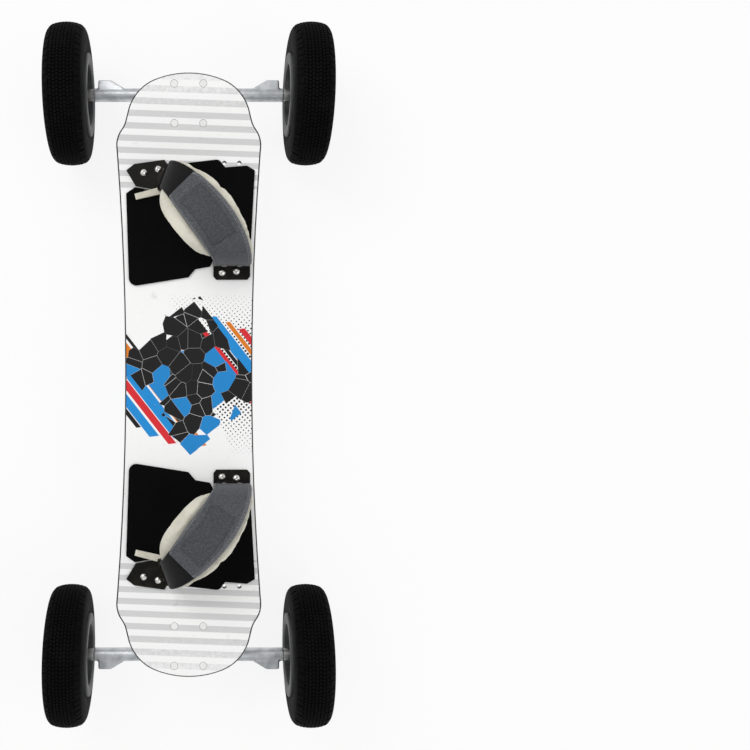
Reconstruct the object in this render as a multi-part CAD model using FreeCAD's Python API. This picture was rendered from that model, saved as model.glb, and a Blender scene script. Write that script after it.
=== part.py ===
"""Mountainboard: a kicked deck on two cast trucks with four pneumatic wheels and two foot bindings.

Millimetres, +Z up. The origin is on the ground under the middle of the deck.
+Y points to the nose and X runs across the board.
"""
import FreeCAD, Part
import math
import os

V = FreeCAD.Vector

# Clearances
running_gap = 0.05       # radial, a bearing on its axle
seat_gap = 0.3           # between pieces that move apart or are soft
hole_gap = 0.2           # radial, a bolt in its hole
recess_gap = 1.0         # round a binding bracket in its foot pad

# Deck
deck_length = 855.4
deck_thickness = 12.0
waist_width = 184.0
shoulder_width = 209.6
neck_width = 172.0
tip_to_shoulder = 98.9
shoulder_run = 24.0
shoulder_step = 7.75
neck_end_width = 181.3
neck_run = 16.4
tip_to_neck = 46.2
tip_chord_width = 97.9
tip_sagitta = 8.9
tip_angle = 15.0
bend_radius = 70.0
bend_to_axle = 93.5
deck_edge_chamfer = 2.0

# Wheel
wheel_radius = 102.5
tyre_width = 58.0
tyre_wall = 5.7
tread_width = 34.0
tread_drop = 2.2
shoulder_notches = 30
notch_width = 6.0
notch_depth = 2.2
hub_flange_radius = 60.0
hub_opening_radius = 44.0
rim_wall = 4.0
hub_width = 63.0
hub_flange_thickness = 4.2
spoke_count = 5
spoke_width = 12.0
spoke_depth = 10.0
hub_bolt_circle = 31.0
hub_bolt_radius = 2.5
bearing_radius = 14.0
bearing_width = 8.0
inner_bearing_face = 23.0
outer_bearing_face = 20.0
valve_radius = 3.5
tube_wall = 1.6

# Axle and track
axle_radius = 6.0
axle_spread = 838.0      # from axle to axle along the board
wheel_track = 356.0      # from wheel centre plane to wheel centre plane
hanger_width = 284.0
axle_nut_flats = 18.0
axle_nut_thickness = 9.0
axle_end = 1.5           # how far the axle stands out of its nut

# Truck baseplate and kingpin
hole_spacing_x = 41.3
hole_spacing_y = 54.0
plate_width = 55.0
plate_length = 74.0
plate_thickness = 7.0
plate_corner = 8.0
riser_thickness = 3.0
riser_margin = 3.0
kingpin_angle = 18.0
kingpin_inset = 28.7     # from the plate's middle to the kingpin, at the plate's top face
kingpin_radius = 5.0
boss_height = 12.0
boss_radius = 14.6
washer_radius = 14.5
washer_thickness = 2.0
barrel_length = 15.0
bushing_radius = 12.0
cone_length = 12.0
cone_tip_radius = 9.5
kingpin_nut_flats = 17.0
kingpin_nut_thickness = 8.0
kingpin_end = 3.0
truck_bolt_radius = 2.5

# Hanger, measured from the middle of its kingpin ring
ring_thickness = 8.0
ring_radius = 21.0
ring_hole_radius = 8.0
bushing_seat_depth = 1.2
axle_out = 24.2
axle_drop = 32.7
pivot_out = 45.1
pivot_rise = 7.8
pivot_radius = 6.5
pivot_cup_wall = 2.6
pivot_housing_wall = 3.2
housing_radius = 9.75
web_half_width = 92.0
web_thickness = 13.0
web_pocket_depth = 3.0
web_rib = 7.0
pillar_half_width = 18.0
lug_start = 97.0
lug_flat_start = 116.0
lug_end = 135.0
lug_height = 10.5
lug_width = 16.0
lug_hole_radius = 3.0
lug_hole_depth = 9.0     # of its straight part
drill_point_slope = 0.6  # of the drill's point, from its height to its radius

# Foot pads and bindings, for the front one: the rear one is its mirror image
pad_thickness = 3.0
pad_side_inset = 8.5
sheet_thickness = 3.0
flange_height = 24.0
binding_bolt_radius = 3.0
bolt_head_radius = 5.4
bolt_head_height = 3.2
insert_radius = 4.6
insert_length = 10.0
spare_hole_radius = 3.2
strap_bulge = 3.0        # how much wider a strap is over the foot
strap_thickness = 3.2
strap_foot_gap = 2.0     # between a strap's lower end and its bracket's foot
strap_gap = 0.6          # between the layers of a binding
liner_thickness = 9.0
liner_bulge = 25.0
arch_height = 54.0       # above the straight legs that run up the flanges
arch_steps = 12          # sections from one leg's top to the other's
upper_strap_end = 9      # the section where the upper strap ends
lower_strap_start = 4    # the section where the lower strap starts, under the upper one
rivet_radius = 2.5
rivet_head_radius = 5.0
rivet_head_height = 2.0
rivet_spacing = 22.0
rivet_rise = 0.45       # height of a strap's rivets, as a share of the flange's
rivet_gap = 0.15         # radial, a rivet in its strap

# Places on the deck, as (x, y)
near_bracket = (35.6, 88.5, 137.0, 163.0)
near_bolts = ((48.0, 147.4), (68.7, 149.2))
far_plate = ((-90.0, 294.8), (-78.4, 303.9), (-35.3, 310.0), (-52.0, 268.0), (-76.7, 272.4))
far_fold = ((-28.7, 300.5), (-42.0, 264.0))
far_bolts = ((-65.1, 291.6), (-44.2, 296.4))
spare_holes = ((51.5, 306.0), (73.0, 306.0))

# Derived places
ring_station = boss_height + washer_thickness + barrel_length + ring_thickness / 2
sin_k = math.sin(math.radians(kingpin_angle))
cos_k = math.cos(math.radians(kingpin_angle))
sin_t = math.sin(math.radians(tip_angle))
cos_t = math.cos(math.radians(tip_angle))
ring_y = -kingpin_inset + ring_station * sin_k
ring_z = -ring_station * cos_k
axle_local_y = ring_y + axle_out * cos_k + axle_drop * sin_k
axle_local_z = ring_z + axle_out * sin_k - axle_drop * cos_k
plate_y = axle_spread / 2 - (axle_local_y * cos_t - axle_local_z * sin_t)
plate_z = wheel_radius - (axle_local_y * sin_t + axle_local_z * cos_t)
bend_y = axle_spread / 2 - bend_to_axle
underside_y = plate_y - riser_thickness * sin_t
underside_z = plate_z + riser_thickness * cos_t
deck_bottom = underside_z - (underside_y - bend_y) * math.tan(math.radians(tip_angle))
deck_top = deck_bottom + deck_thickness
pivot_reach = math.hypot(pivot_out, pivot_rise)
pivot_angle = math.degrees(math.atan2(pivot_rise, pivot_out))


# Small helpers

def flat(a, b):
    """A point of the XY plane."""
    return V(a, b, 0)


def side(a, b):
    """A point of the YZ plane."""
    return V(0, a, b)


def closed_wire(place, start, *steps):
    """Join lines, given as (end,), and arcs, given as (through, end), into one closed wire."""
    edges = []
    here = start
    for step in steps:
        end = step[-1]
        if len(step) == 1:
            edges.append(Part.makeLine(place(*here), place(*end)))
        else:
            edges.append(Part.Arc(place(*here), place(*step[0]), place(*end)).toShape())
        here = end
    if math.dist(here, start) > 1e-6:
        edges.append(Part.makeLine(place(*here), place(*start)))
    return Part.Wire(edges)


def prism(wire, direction):
    """Extrude a closed flat wire along a vector."""
    return Part.Face(wire).extrude(direction)


def spun(wire):
    """Turn a closed wire of the XY plane once round the X axis."""
    return Part.Face(wire).revolve(V(0, 0, 0), V(1, 0, 0), 360)


def rod(radius, start, end):
    """A round bar between two points."""
    return Part.makeCylinder(radius, (end - start).Length, start, end - start)


def hexagon(flats, height, base, axis):
    """A hexagonal prism that stands on base and points along axis."""
    corner = flats / math.sqrt(3)
    points = [V(corner * math.cos(math.radians(a)), corner * math.sin(math.radians(a)), 0)
              for a in range(0, 361, 60)]
    nut = prism(Part.makePolygon(points), V(0, 0, height))
    nut.Placement = FreeCAD.Placement(base, FreeCAD.Rotation(V(0, 0, 1), axis))
    return nut


def bend_point(point, heading, end):
    """The middle of the arc that leaves point along heading and reaches end, and its last heading."""
    chord = math.atan2(end[1] - point[1], end[0] - point[0])
    turn = chord - heading
    length = math.dist(point, end)
    bulge = length / 2 * math.tan(turn / 2)
    middle = ((point[0] + end[0]) / 2 + bulge * math.sin(chord),
              (point[1] + end[1]) / 2 - bulge * math.cos(chord))
    return middle, chord + turn


def compound(shapes):
    """Separate solids that share one node."""
    return Part.makeCompound(list(shapes))


def turned(shape):
    """A front piece's twin at the rear, turned half round the board's middle."""
    twin = shape.copy()
    twin.rotate(V(0, 0, 0), V(0, 0, 1), 180)
    return twin


def both_ends(shape):
    """The front piece and its twin in one node."""
    return compound([shape, turned(shape)])


def rear_mirror(shape):
    """The rear binding's copy of a front binding's piece."""
    return shape.mirror(V(0, 0, 0), V(0, 1, 0))


# Frames of the front truck

def in_truck(shape):
    """From the plate's frame to the board's: tilted with the tip, under the deck."""
    placed = shape.copy()
    placed.rotate(V(0, 0, 0), V(1, 0, 0), tip_angle)
    placed.translate(V(0, plate_y, plate_z))
    return placed


def in_hanger(shape):
    """From the kingpin ring's frame, with Z up along the kingpin, to the board's."""
    placed = shape.copy()
    placed.rotate(V(0, 0, 0), V(1, 0, 0), kingpin_angle)
    placed.translate(V(0, ring_y, ring_z))
    return in_truck(placed)


# Deck

def deck_outline():
    """Waist, shoulders, necks and round tips, mirrored left to right and end to end."""
    tip = deck_length / 2
    chord = tip_chord_width / 2
    corner = (chord, tip - tip_sagitta)
    tip_radius = (chord ** 2 + tip_sagitta ** 2) / (2 * tip_sagitta)
    neck = (neck_width / 2, tip - tip_to_neck)
    neck_end = (neck_end_width / 2, neck[1] - neck_run)
    wide = (shoulder_width / 2, tip - tip_to_shoulder)
    turn = (wide[0] - shoulder_step, wide[1] + shoulder_run)
    round_mid, _ = bend_point(corner, -math.asin(chord / tip_radius), neck)
    slope = math.atan2(neck_end[1] - neck[1], neck_end[0] - neck[0])
    flare_mid, flare_end = bend_point(neck_end, slope, turn)
    crest_mid, _ = bend_point(turn, flare_end, wide)
    down = [(round_mid, neck), (neck_end,), (flare_mid, turn), (crest_mid, wide)]
    right = [((waist_width / 2, 0), (wide[0], -wide[1]))]
    starts = [corner, neck, neck_end, turn]
    up = []
    for step, start in zip(reversed(down), reversed(starts)):
        up.append(tuple((x, -y) for x, y in (list(step[:-1]) + [start])))
    tail = [((0, -tip), (-chord, -corner[1]))]
    quarter_back = [tuple((-x, -y) for x, y in step) for step in down]
    left = [((-waist_width / 2, 0), (-wide[0], wide[1]))]
    quarter_end = [tuple((-x, -y) for x, y in step) for step in up]
    nose = [((0, tip), corner)]
    steps = down + right + up + tail + quarter_back + left + quarter_end + nose
    return closed_wire(flat, corner, *steps)


def deck_profile():
    """Side view: a flat platform with both tips bent up, of one thickness."""
    half = math.radians(tip_angle / 2)
    reach = deck_length / 2 + 20
    rise = (reach - bend_y) * math.tan(2 * half)
    upper_y = bend_y - deck_thickness * math.tan(half)
    run = bend_radius * math.tan(half)
    low_run = (bend_radius + deck_thickness) * math.tan(half)

    def bend(y, z, length, radius):
        start = (y - length, z)
        end = (y + length * cos_t, z + length * sin_t)
        drop = radius * (1 - math.cos(half))
        middle = (y - length + radius * math.sin(half), z + drop)
        return start, middle, end

    top_start, top_mid, top_end = bend(upper_y, deck_top, run, bend_radius)
    low_start, low_mid, low_end = bend(bend_y, deck_bottom, low_run, bend_radius + deck_thickness)
    far_low = (reach, deck_bottom + rise)
    far_top = (reach - deck_thickness * sin_t, deck_bottom + rise + deck_thickness * cos_t)

    def back(point):
        return (-point[0], point[1])

    return closed_wire(side, low_start, (low_mid, low_end), (far_low,), (far_top,), (top_end,),
                       (top_mid, top_start), (back(top_start),), (back(top_mid), back(top_end)),
                       (back(far_top),), (back(far_low),), (back(low_end),),
                       (back(low_mid), back(low_start)))


def truck_hole_places():
    """The four bolt places of one baseplate, in the plate's frame."""
    return [(sx * hole_spacing_x / 2, sy * hole_spacing_y / 2) for sx in (-1, 1) for sy in (-1, 1)]


def binding_bolt_places():
    """All eight binding bolts, front and rear."""
    front = list(near_bolts) + list(far_bolts)
    return front + [(x, -y) for x, y in front]


def spare_hole_places():
    """The holes that let the bindings be moved or turned round."""
    return list(spare_holes) + [(x, -y) for x, y in spare_holes]


def build_deck():
    """The bent board, cut to its outline, with its edge chamfered and its holes bored."""
    sheet = prism(deck_profile(), V(2 * shoulder_width, 0, 0))
    sheet.translate(V(-shoulder_width, 0, 0))
    column = prism(deck_outline(), V(0, 0, deck_top + 200))
    board = sheet.common(column)
    holes = []
    for x, y in truck_hole_places():
        hole = rod(truck_bolt_radius + hole_gap, V(x, y, -10), V(x, y, 40))
        sink = Part.makeCone(truck_bolt_radius + hole_gap, 2 * truck_bolt_radius + 0.4, truck_bolt_radius,
                             V(x, y, riser_thickness + deck_thickness - truck_bolt_radius), V(0, 0, 1))
        top = rod(2 * truck_bolt_radius + 0.4, V(x, y, riser_thickness + deck_thickness), V(x, y, 40))
        holes += both_ends(in_truck(hole.fuse([sink, top]))).Solids
    for x, y in binding_bolt_places():
        holes.append(rod(binding_bolt_radius + hole_gap, V(x, y, deck_bottom - 1), V(x, y, deck_top + 1)))
        holes.append(rod(insert_radius, V(x, y, deck_bottom - 1), V(x, y, deck_bottom + insert_length)))
    for x, y in spare_hole_places():
        holes.append(rod(spare_hole_radius, V(x, y, deck_bottom - 1), V(x, y, deck_top + 1)))
    rims = [e for e in board.Edges if not is_upright(e) and on_border(e)]
    board = board.makeChamfer(deck_edge_chamfer, rims)
    return board.cut(holes)


def is_upright(edge):
    """Whether an edge runs straight up and down."""
    ends = [v.Point for v in edge.Vertexes]
    return len(ends) == 2 and math.hypot(ends[0].x - ends[1].x, ends[0].y - ends[1].y) < 1e-3


def on_border(edge):
    """Whether an edge follows the outline, not a bend line across the board."""
    ends = [v.Point for v in edge.Vertexes]
    across = abs(ends[0].y - ends[1].y) < 1e-3 and ends[0].x * ends[1].x < 0
    tip = abs(ends[0].y) > deck_length / 2 - 2 * tip_sagitta
    return tip or not across


# Wheels, built round the X axis with the wheel's middle plane at x = 0

def hub_profile(sign):
    """One half of the rim: flange, barrel wall and parting face, as (x, radius)."""
    face = sign * hub_width / 2
    inner = hub_opening_radius
    seat = hub_opening_radius + rim_wall
    shelf = face - sign * hub_flange_thickness
    edge = hub_flange_radius
    return closed_wire(flat, (0, inner), ((face - sign * 2, inner),),
                       ((face, inner + 4),), ((face, edge - 2),),
                       ((face - sign * 0.6, edge - 0.6), (face - sign * 2, edge)),
                       ((shelf, edge),), ((shelf, seat),), ((0, seat),))


def hub_half(sign, bearing_face):
    """Rim, spokes, bolt bosses and a bearing boss: half of a wheel's hub."""
    rim = spun(hub_profile(sign))
    boss_end = sign * (bearing_face + 1)
    boss = rod(bearing_radius + 4, V(0, 0, 0), V(boss_end, 0, 0))
    pieces = [rim, boss]
    for index in range(spoke_count):
        angle = 360 / spoke_count * index
        half = spoke_width / 2
        root = bearing_radius + 2
        end = hub_opening_radius + rim_wall / 2
        spoke = closed_wire(side, (-half - 2, root), ((half + 2, root),), ((half, end - 6),),
                            ((half + 3, end),), ((-half - 3, end),), ((-half, end - 6),))
        bar = prism(spoke, V(sign * spoke_depth, 0, 0))
        pad = rod(spoke_width / 2 + 1, V(0, 0, hub_bolt_circle),
                  V(sign * (spoke_depth + 2), 0, hub_bolt_circle))
        arm = bar.fuse(pad)
        arm.rotate(V(0, 0, 0), V(1, 0, 0), angle)
        pieces.append(arm)
    body = pieces[0].fuse(pieces[1:])
    cuts = [rod(bearing_radius - 4.5, V(-hub_width, 0, 0), V(hub_width, 0, 0)),
            rod(bearing_radius, V(sign * (bearing_face - bearing_width), 0, 0),
                V(sign * (bearing_face + 10), 0, 0))]
    for index in range(spoke_count):
        bolt_hole = rod(hub_bolt_radius + hole_gap, V(-hub_width, 0, hub_bolt_circle),
                        V(hub_width, 0, hub_bolt_circle))
        bolt_hole.rotate(V(0, 0, 0), V(1, 0, 0), 360 / spoke_count * index)
        cuts.append(bolt_hole)
    if sign > 0:
        cuts.append(valve_rod(valve_radius + 1))
    return body.cut(cuts).removeSplitter()


def valve_rod(radius):
    """A bar along the valve, which comes in through the rim between two spokes."""
    middle = tyre_cavity()[0]
    angle = math.radians(180 / spoke_count)
    out = V(0, math.sin(angle), math.cos(angle))
    x = valve_radius + 2
    start = V(x, 0, 0) + out * (hub_opening_radius - 12)
    return rod(radius, start, V(x, 0, 0) + out * (middle - tube_section() + tube_wall / 2))


def hub_bolts():
    """The bolts and nuts that clamp the two hub halves."""
    reach = spoke_depth + 2
    bolts = []
    for index in range(spoke_count):
        start = V(-reach - 3, 0, hub_bolt_circle)
        shank = rod(hub_bolt_radius, start, V(reach + 5, 0, hub_bolt_circle))
        head = rod(2 * hub_bolt_radius - 0.6, start, V(-reach, 0, hub_bolt_circle))
        nut = hexagon(3.2 * hub_bolt_radius, 4, V(reach, 0, hub_bolt_circle), V(1, 0, 0))
        bolt = shank.fuse([head, nut])
        bolt.rotate(V(0, 0, 0), V(1, 0, 0), 360 / spoke_count * index)
        bolts.append(bolt)
    return compound(bolts)


def bearings():
    """The two ball bearings of one wheel, each with its shield set back."""
    rings = []
    for face, sign in ((inner_bearing_face, -1), (outer_bearing_face, 1)):
        outer = sign * face
        inner = sign * (face - bearing_width)
        dip = sign * 0.6
        bore = axle_radius + running_gap
        ring = closed_wire(flat, (inner, bore), ((outer, bore),), ((outer, bore + 2.5),),
                           ((outer - dip, bore + 2.5),), ((outer - dip, bearing_radius - 2),),
                           ((outer, bearing_radius - 2),), ((outer, bearing_radius),),
                           ((inner, bearing_radius),))
        rings.append(spun(ring))
    return compound(rings)


def tyre_cavity():
    """The middle radius and section radius of the space for the inner tube."""
    section = tyre_width / 2 - tyre_wall
    return wheel_radius - tyre_wall - 0.5 - section, section


def tube_section():
    """The inner tube's own section radius."""
    return tyre_cavity()[1] - seat_gap


def build_tyre():
    """Beads, sidewalls and a crowned tread, with notches across both shoulders."""
    middle, section = tyre_cavity()
    bead = hub_width / 2 - hub_flange_thickness - seat_gap
    seat = hub_opening_radius + rim_wall + seat_gap
    toe = section * 0.6
    toe_top = middle - math.sqrt(section ** 2 - toe ** 2)
    half = tyre_width / 2
    tread = tread_width / 2
    edge = wheel_radius - tread_drop
    shoulder = wheel_radius - 2 * tyre_wall
    lip = hub_flange_radius + seat_gap
    wall = closed_wire(flat, (-toe, seat), ((-bead, seat),), ((-bead, lip),),
                       ((-half, middle + 2), (-half + 2, shoulder)),
                       ((-tread - 5.5, edge - 2.6), (-tread, edge)),
                       ((0, wheel_radius), (tread, edge)),
                       ((tread + 5.5, edge - 2.6), (half - 2, shoulder)),
                       ((half, middle + 2), (bead, lip)),
                       ((bead, seat),), ((toe, seat),), ((toe, toe_top),),
                       ((0, middle + section), (-toe, toe_top)))
    tyre = spun(wall)
    notches = []
    for sign in (-1, 1):
        for index in range(shoulder_notches):
            box = Part.makeBox(half - tread + 4, notch_width, 3 * notch_depth)
            box.translate(V(tread - 2, -notch_width / 2, edge - notch_depth))
            if sign < 0:
                box = box.mirror(V(0, 0, 0), V(1, 0, 0))
            box.rotate(V(0, 0, 0), V(1, 0, 0), 360 / shoulder_notches * (index + 0.25 * sign))
            notches.append(box)
    return tyre.cut(notches)


def build_inner_tube():
    """An air-filled ring with a straight valve that reaches into the hub."""
    middle = tyre_cavity()[0]
    ring = Part.makeTorus(middle, tube_section(), V(0, 0, 0), V(1, 0, 0))
    air = Part.makeTorus(middle, tube_section() - tube_wall, V(0, 0, 0), V(1, 0, 0))
    return ring.fuse(valve_rod(valve_radius)).cut([air, valve_rod(1.2).fuse(air)])


def wheel_parts():
    """Every piece of one wheel, which faces outward along +X."""
    return {
        "tyre": build_tyre(),
        "inner_tube": build_inner_tube(),
        "hub_inner": hub_half(-1, inner_bearing_face),
        "hub_outer": hub_half(1, outer_bearing_face),
        "hub_bolts": hub_bolts(),
        "bearings": bearings(),
    }


def place_wheel(shape, sx, sy):
    """One wheel piece at its corner of the board."""
    placed = shape.copy()
    if sx < 0:
        placed.rotate(V(0, 0, 0), V(0, 0, 1), 180)
    placed.translate(V(sx * wheel_track / 2, sy * axle_spread / 2, wheel_radius))
    return placed


# Axles

def axle_pieces():
    """The front axle, its nuts and its spacers, along X at the board's front axle."""
    centre = V(0, axle_spread / 2, wheel_radius)
    track = wheel_track / 2
    nut_start = track + outer_bearing_face + seat_gap
    nut_end = nut_start + axle_nut_thickness
    out = V(1, 0, 0)
    axle = rod(axle_radius, centre - out * (nut_end + axle_end), centre + out * (nut_end + axle_end))
    bore = rod(axle_radius, centre - out * 400, centre + out * 400)
    nuts, spacers = [], []
    for sign in (-1, 1):
        step = out * sign
        nuts.append(hexagon(axle_nut_flats, axle_nut_thickness, centre + step * nut_start, step).cut(bore))
        outside = rod(axle_radius + 3, centre + step * (hanger_width / 2),
                      centre + step * (track - inner_bearing_face - seat_gap))
        sleeve = rod(axle_radius + 2.2, centre + step * (track - inner_bearing_face + bearing_width + seat_gap),
                     centre + step * (track + outer_bearing_face - bearing_width - seat_gap))
        spacers += [outside.cut(bore), sleeve.cut(bore)]
    return {"axle": axle, "axle_nuts": compound(nuts), "axle_spacers": compound(spacers)}


# Baseplate and kingpin, in the plate's frame

def kingpin_point(station):
    """A point on the kingpin's axis, that far below the plate's top face along it."""
    return V(0, -kingpin_inset + station * sin_k, -station * cos_k)


def pivot_axis():
    """The hanger's pivot centre and the direction of its nose, in the plate's frame."""
    angle = math.radians(kingpin_angle + pivot_angle)
    way = V(0, math.cos(angle), math.sin(angle))
    return V(0, ring_y, ring_z) + way * pivot_reach, way


def rounded_plate(width, length, corner, bottom, height):
    """A flat plate with four round corners, centred on the Z axis."""
    x, y, cut = width / 2, length / 2, corner * (1 - math.sqrt(0.5))
    wire = closed_wire(flat, (-x + corner, -y), ((x - corner, -y),),
                       ((x - cut, -y + cut), (x, -y + corner)), ((x, y - corner),),
                       ((x - cut, y - cut), (x - corner, y)), ((-x + corner, y),),
                       ((-x + cut, y - cut), (-x, y - corner)), ((-x, -y + corner),),
                       ((-x + cut, -y + cut), (-x + corner, -y)))
    plate = prism(wire, V(0, 0, height))
    plate.translate(V(0, 0, bottom))
    return plate


def bolt_holes(radius, bottom, top):
    """Four bars where the truck bolts go."""
    return [rod(radius, V(x, y, bottom), V(x, y, top)) for x, y in truck_hole_places()]


def build_baseplate():
    """Cast plate with a leaning kingpin boss, a pivot housing and ribs between them."""
    plate = rounded_plate(plate_width, plate_length, plate_corner, -plate_thickness, plate_thickness)
    seat = kingpin_point(boss_height)
    way = (kingpin_point(1) - kingpin_point(0)).normalize()
    boss = Part.makeCone(boss_radius + 0.4, boss_radius, boss_height + 4, kingpin_point(-4), way)
    pivot, nose = pivot_axis()
    reach = pivot_radius + pivot_cup_wall + seat_gap
    housing = rod(reach + pivot_housing_wall, pivot - nose * 5, pivot + nose * (reach + 3))
    rib_start = seat.y + (washer_radius + 1) * cos_k
    rib = prism(closed_wire(side, (rib_start, -plate_thickness + 1), ((rib_start, -plate_thickness - 2),),
                            ((pivot.y - 4, -plate_thickness - 4),), ((pivot.y - 4, -plate_thickness + 1),)),
                V(6, 0, 0))
    rib.translate(V(-3, 0, 0))
    solid = plate.fuse([boss, housing, rib])
    above = Part.makeBox(200, 200, 100, V(-100, -100, 0))
    bore = rod(kingpin_radius + hole_gap, kingpin_point(-20), kingpin_point(60))
    head_room = hexagon(kingpin_nut_flats + 0.6, 6, kingpin_point(-3), way)
    cup = rod(pivot_radius + pivot_cup_wall + seat_gap, pivot - nose * 20, pivot)
    end = Part.makeSphere(pivot_radius + pivot_cup_wall + seat_gap, pivot)
    return solid.cut([above, bore, head_room, cup, end] + bolt_holes(truck_bolt_radius + hole_gap, -40, 5))


def build_pivot_cup():
    """The plastic cup that the hanger's nose turns in."""
    pivot, nose = pivot_axis()
    outer = pivot_radius + pivot_cup_wall + seat_gap
    end = Part.makeSphere(outer, pivot).common(rod(outer + 1, pivot, pivot + nose * (outer + 1)))
    cup = rod(outer, pivot - nose * 5, pivot).fuse(end)
    inside = rod(pivot_radius + seat_gap, pivot - nose * 6, pivot)
    space = Part.makeSphere(pivot_radius + seat_gap, pivot)
    above = Part.makeBox(200, 200, 100, V(-100, -100, 0))
    return cup.cut([inside, space, above])


def kingpin_stack():
    """Kingpin, its nut, both cup washers and both bushings of the front truck."""
    way = (kingpin_point(1) - kingpin_point(0)).normalize()
    washer_low = ring_station + ring_thickness / 2 + cone_length
    nut_top = washer_low + washer_thickness
    end = nut_top + kingpin_nut_thickness + kingpin_end
    bore = rod(kingpin_radius + hole_gap, kingpin_point(0), kingpin_point(end))
    pin = rod(kingpin_radius, kingpin_point(0), kingpin_point(end))
    head = hexagon(kingpin_nut_flats, 6, kingpin_point(-3), way)
    above = Part.makeBox(200, 200, 100, V(-100, -100, 0))
    nut = hexagon(kingpin_nut_flats, kingpin_nut_thickness, kingpin_point(nut_top), way)
    collar = rod(kingpin_nut_flats / 2, kingpin_point(nut_top), kingpin_point(nut_top + 1.5))
    washers = [rod(washer_radius, kingpin_point(s), kingpin_point(s + washer_thickness)).cut(bore)
               for s in (boss_height, washer_low)]
    barrel_top = boss_height + washer_thickness
    barrel_end = ring_station - ring_thickness / 2 + bushing_seat_depth - seat_gap
    cone_top = ring_station + ring_thickness / 2 - bushing_seat_depth + seat_gap
    barrel = rod(bushing_radius, kingpin_point(barrel_top), kingpin_point(barrel_end)).cut(bore)
    cone = Part.makeCone(bushing_radius, cone_tip_radius, washer_low - cone_top,
                         kingpin_point(cone_top), way).cut(bore)
    return {
        "kingpins": pin.fuse(head).cut(above),
        "kingpin_nuts": nut.fuse(collar).cut(pin),
        "cup_washers": compound(washers),
        "bushings": compound([barrel, cone]),
    }


def build_riser():
    """The black pad between baseplate and deck."""
    pad = rounded_plate(plate_width + 2 * riser_margin, plate_length + 2 * riser_margin,
                        plate_corner + riser_margin, 0, riser_thickness)
    return pad.cut(bolt_holes(truck_bolt_radius + hole_gap, -5, 10))


def truck_fasteners():
    """The four countersunk bolts and the four locknuts of the front truck."""
    top = riser_thickness + deck_thickness
    bolts, nuts = [], []
    for x, y in truck_hole_places():
        shank = rod(truck_bolt_radius, V(x, y, -plate_thickness - 8), V(x, y, top - 0.2))
        head = Part.makeCone(truck_bolt_radius, 2 * truck_bolt_radius, truck_bolt_radius,
                             V(x, y, top - truck_bolt_radius - 0.2), V(0, 0, 1))
        bolts.append(shank.fuse(head))
        nuts.append(hexagon(3.2 * truck_bolt_radius, 5, V(x, y, -plate_thickness), V(0, 0, -1)).cut(shank))
    return compound(bolts), compound(nuts)


# Hanger, in the kingpin ring's frame: Z up along the kingpin, Y outward

def web_outline(margin):
    """The V of the web, from the axle housing (second value 0) to the ring, drawn in by margin."""
    reach = math.hypot(axle_out, axle_drop)
    foot = web_half_width - 2.4 * margin
    low = margin and housing_radius + 1.5
    waist = ring_radius + 1 - margin * 0.9
    top = reach - (margin and ring_radius * 0.55)
    bow = (waist + (foot - waist) * 0.34, low + (top - low) * 0.44)
    return closed_wire(flat, (-foot, low), ((foot, low),), (bow, (waist, top)), ((-waist, top),),
                       ((-bow[0], bow[1]), (-foot, low)))


def build_web():
    """The plate that joins ring and housing, with a shallow pocket in both faces."""
    plate = prism(web_outline(0), V(0, 0, web_thickness))
    pocket = prism(web_outline(web_rib), V(0, 0, web_pocket_depth))
    low = pocket.copy()
    high = pocket.copy()
    high.translate(V(0, 0, web_thickness - web_pocket_depth))
    web = plate.cut([low, high])
    web.translate(V(0, 0, -web_thickness / 2))
    angle = math.degrees(math.atan2(axle_drop, -axle_out))
    web.rotate(V(0, 0, 0), V(1, 0, 0), angle)
    web.translate(V(0, axle_out, -axle_drop))
    return web


def build_nose():
    """The pivot nose: a taper with a ball end, turned about the steering axis."""
    neck = pivot_radius - 0.9
    wire = closed_wire(flat, (10, 0), ((10, housing_radius + 1),), ((20, housing_radius + 0.5),),
                       ((pivot_reach - 17, neck + 1.6),), ((pivot_reach - 9, neck),),
                       ((pivot_reach - pivot_radius * 0.6, pivot_radius * 0.8),),
                       ((pivot_reach + pivot_radius * 0.6, pivot_radius * 0.8),
                        (pivot_reach + pivot_radius, 0)))
    nose = spun(wire)
    nose.rotate(V(0, 0, 0), V(0, 0, 1), 90)
    nose.rotate(V(0, 0, 0), V(1, 0, 0), pivot_angle)
    return nose


def build_lug(sign):
    """A cast lug with a slanted inner end, in the frame of the axle's centre, outward along Y."""
    x = [lug_start, lug_flat_start, lug_end]
    depth = housing_radius + lug_height
    wire = closed_wire(flat, (x[0], 0), ((x[0], housing_radius - 1),), ((x[1], depth),),
                       ((x[2] - 3, depth),), ((x[2] - 0.9, depth - 0.9), (x[2], depth - 3)), ((x[2], 0),))
    lug = prism(wire, V(0, 0, lug_width))
    lug.translate(V(0, 0, -lug_width / 2))
    middle = (lug_flat_start + lug_end) / 2
    hole = rod(lug_hole_radius, V(middle, depth - lug_hole_depth, 0), V(middle, depth + 5, 0))
    drill_point = Part.makeCone(lug_hole_radius, 0, lug_hole_radius * drill_point_slope,
                                V(middle, depth - lug_hole_depth, 0), V(0, -1, 0))
    lug = lug.cut(hole.fuse(drill_point))
    if sign < 0:
        lug = lug.mirror(V(0, 0, 0), V(1, 0, 0))
    return lug


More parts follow.
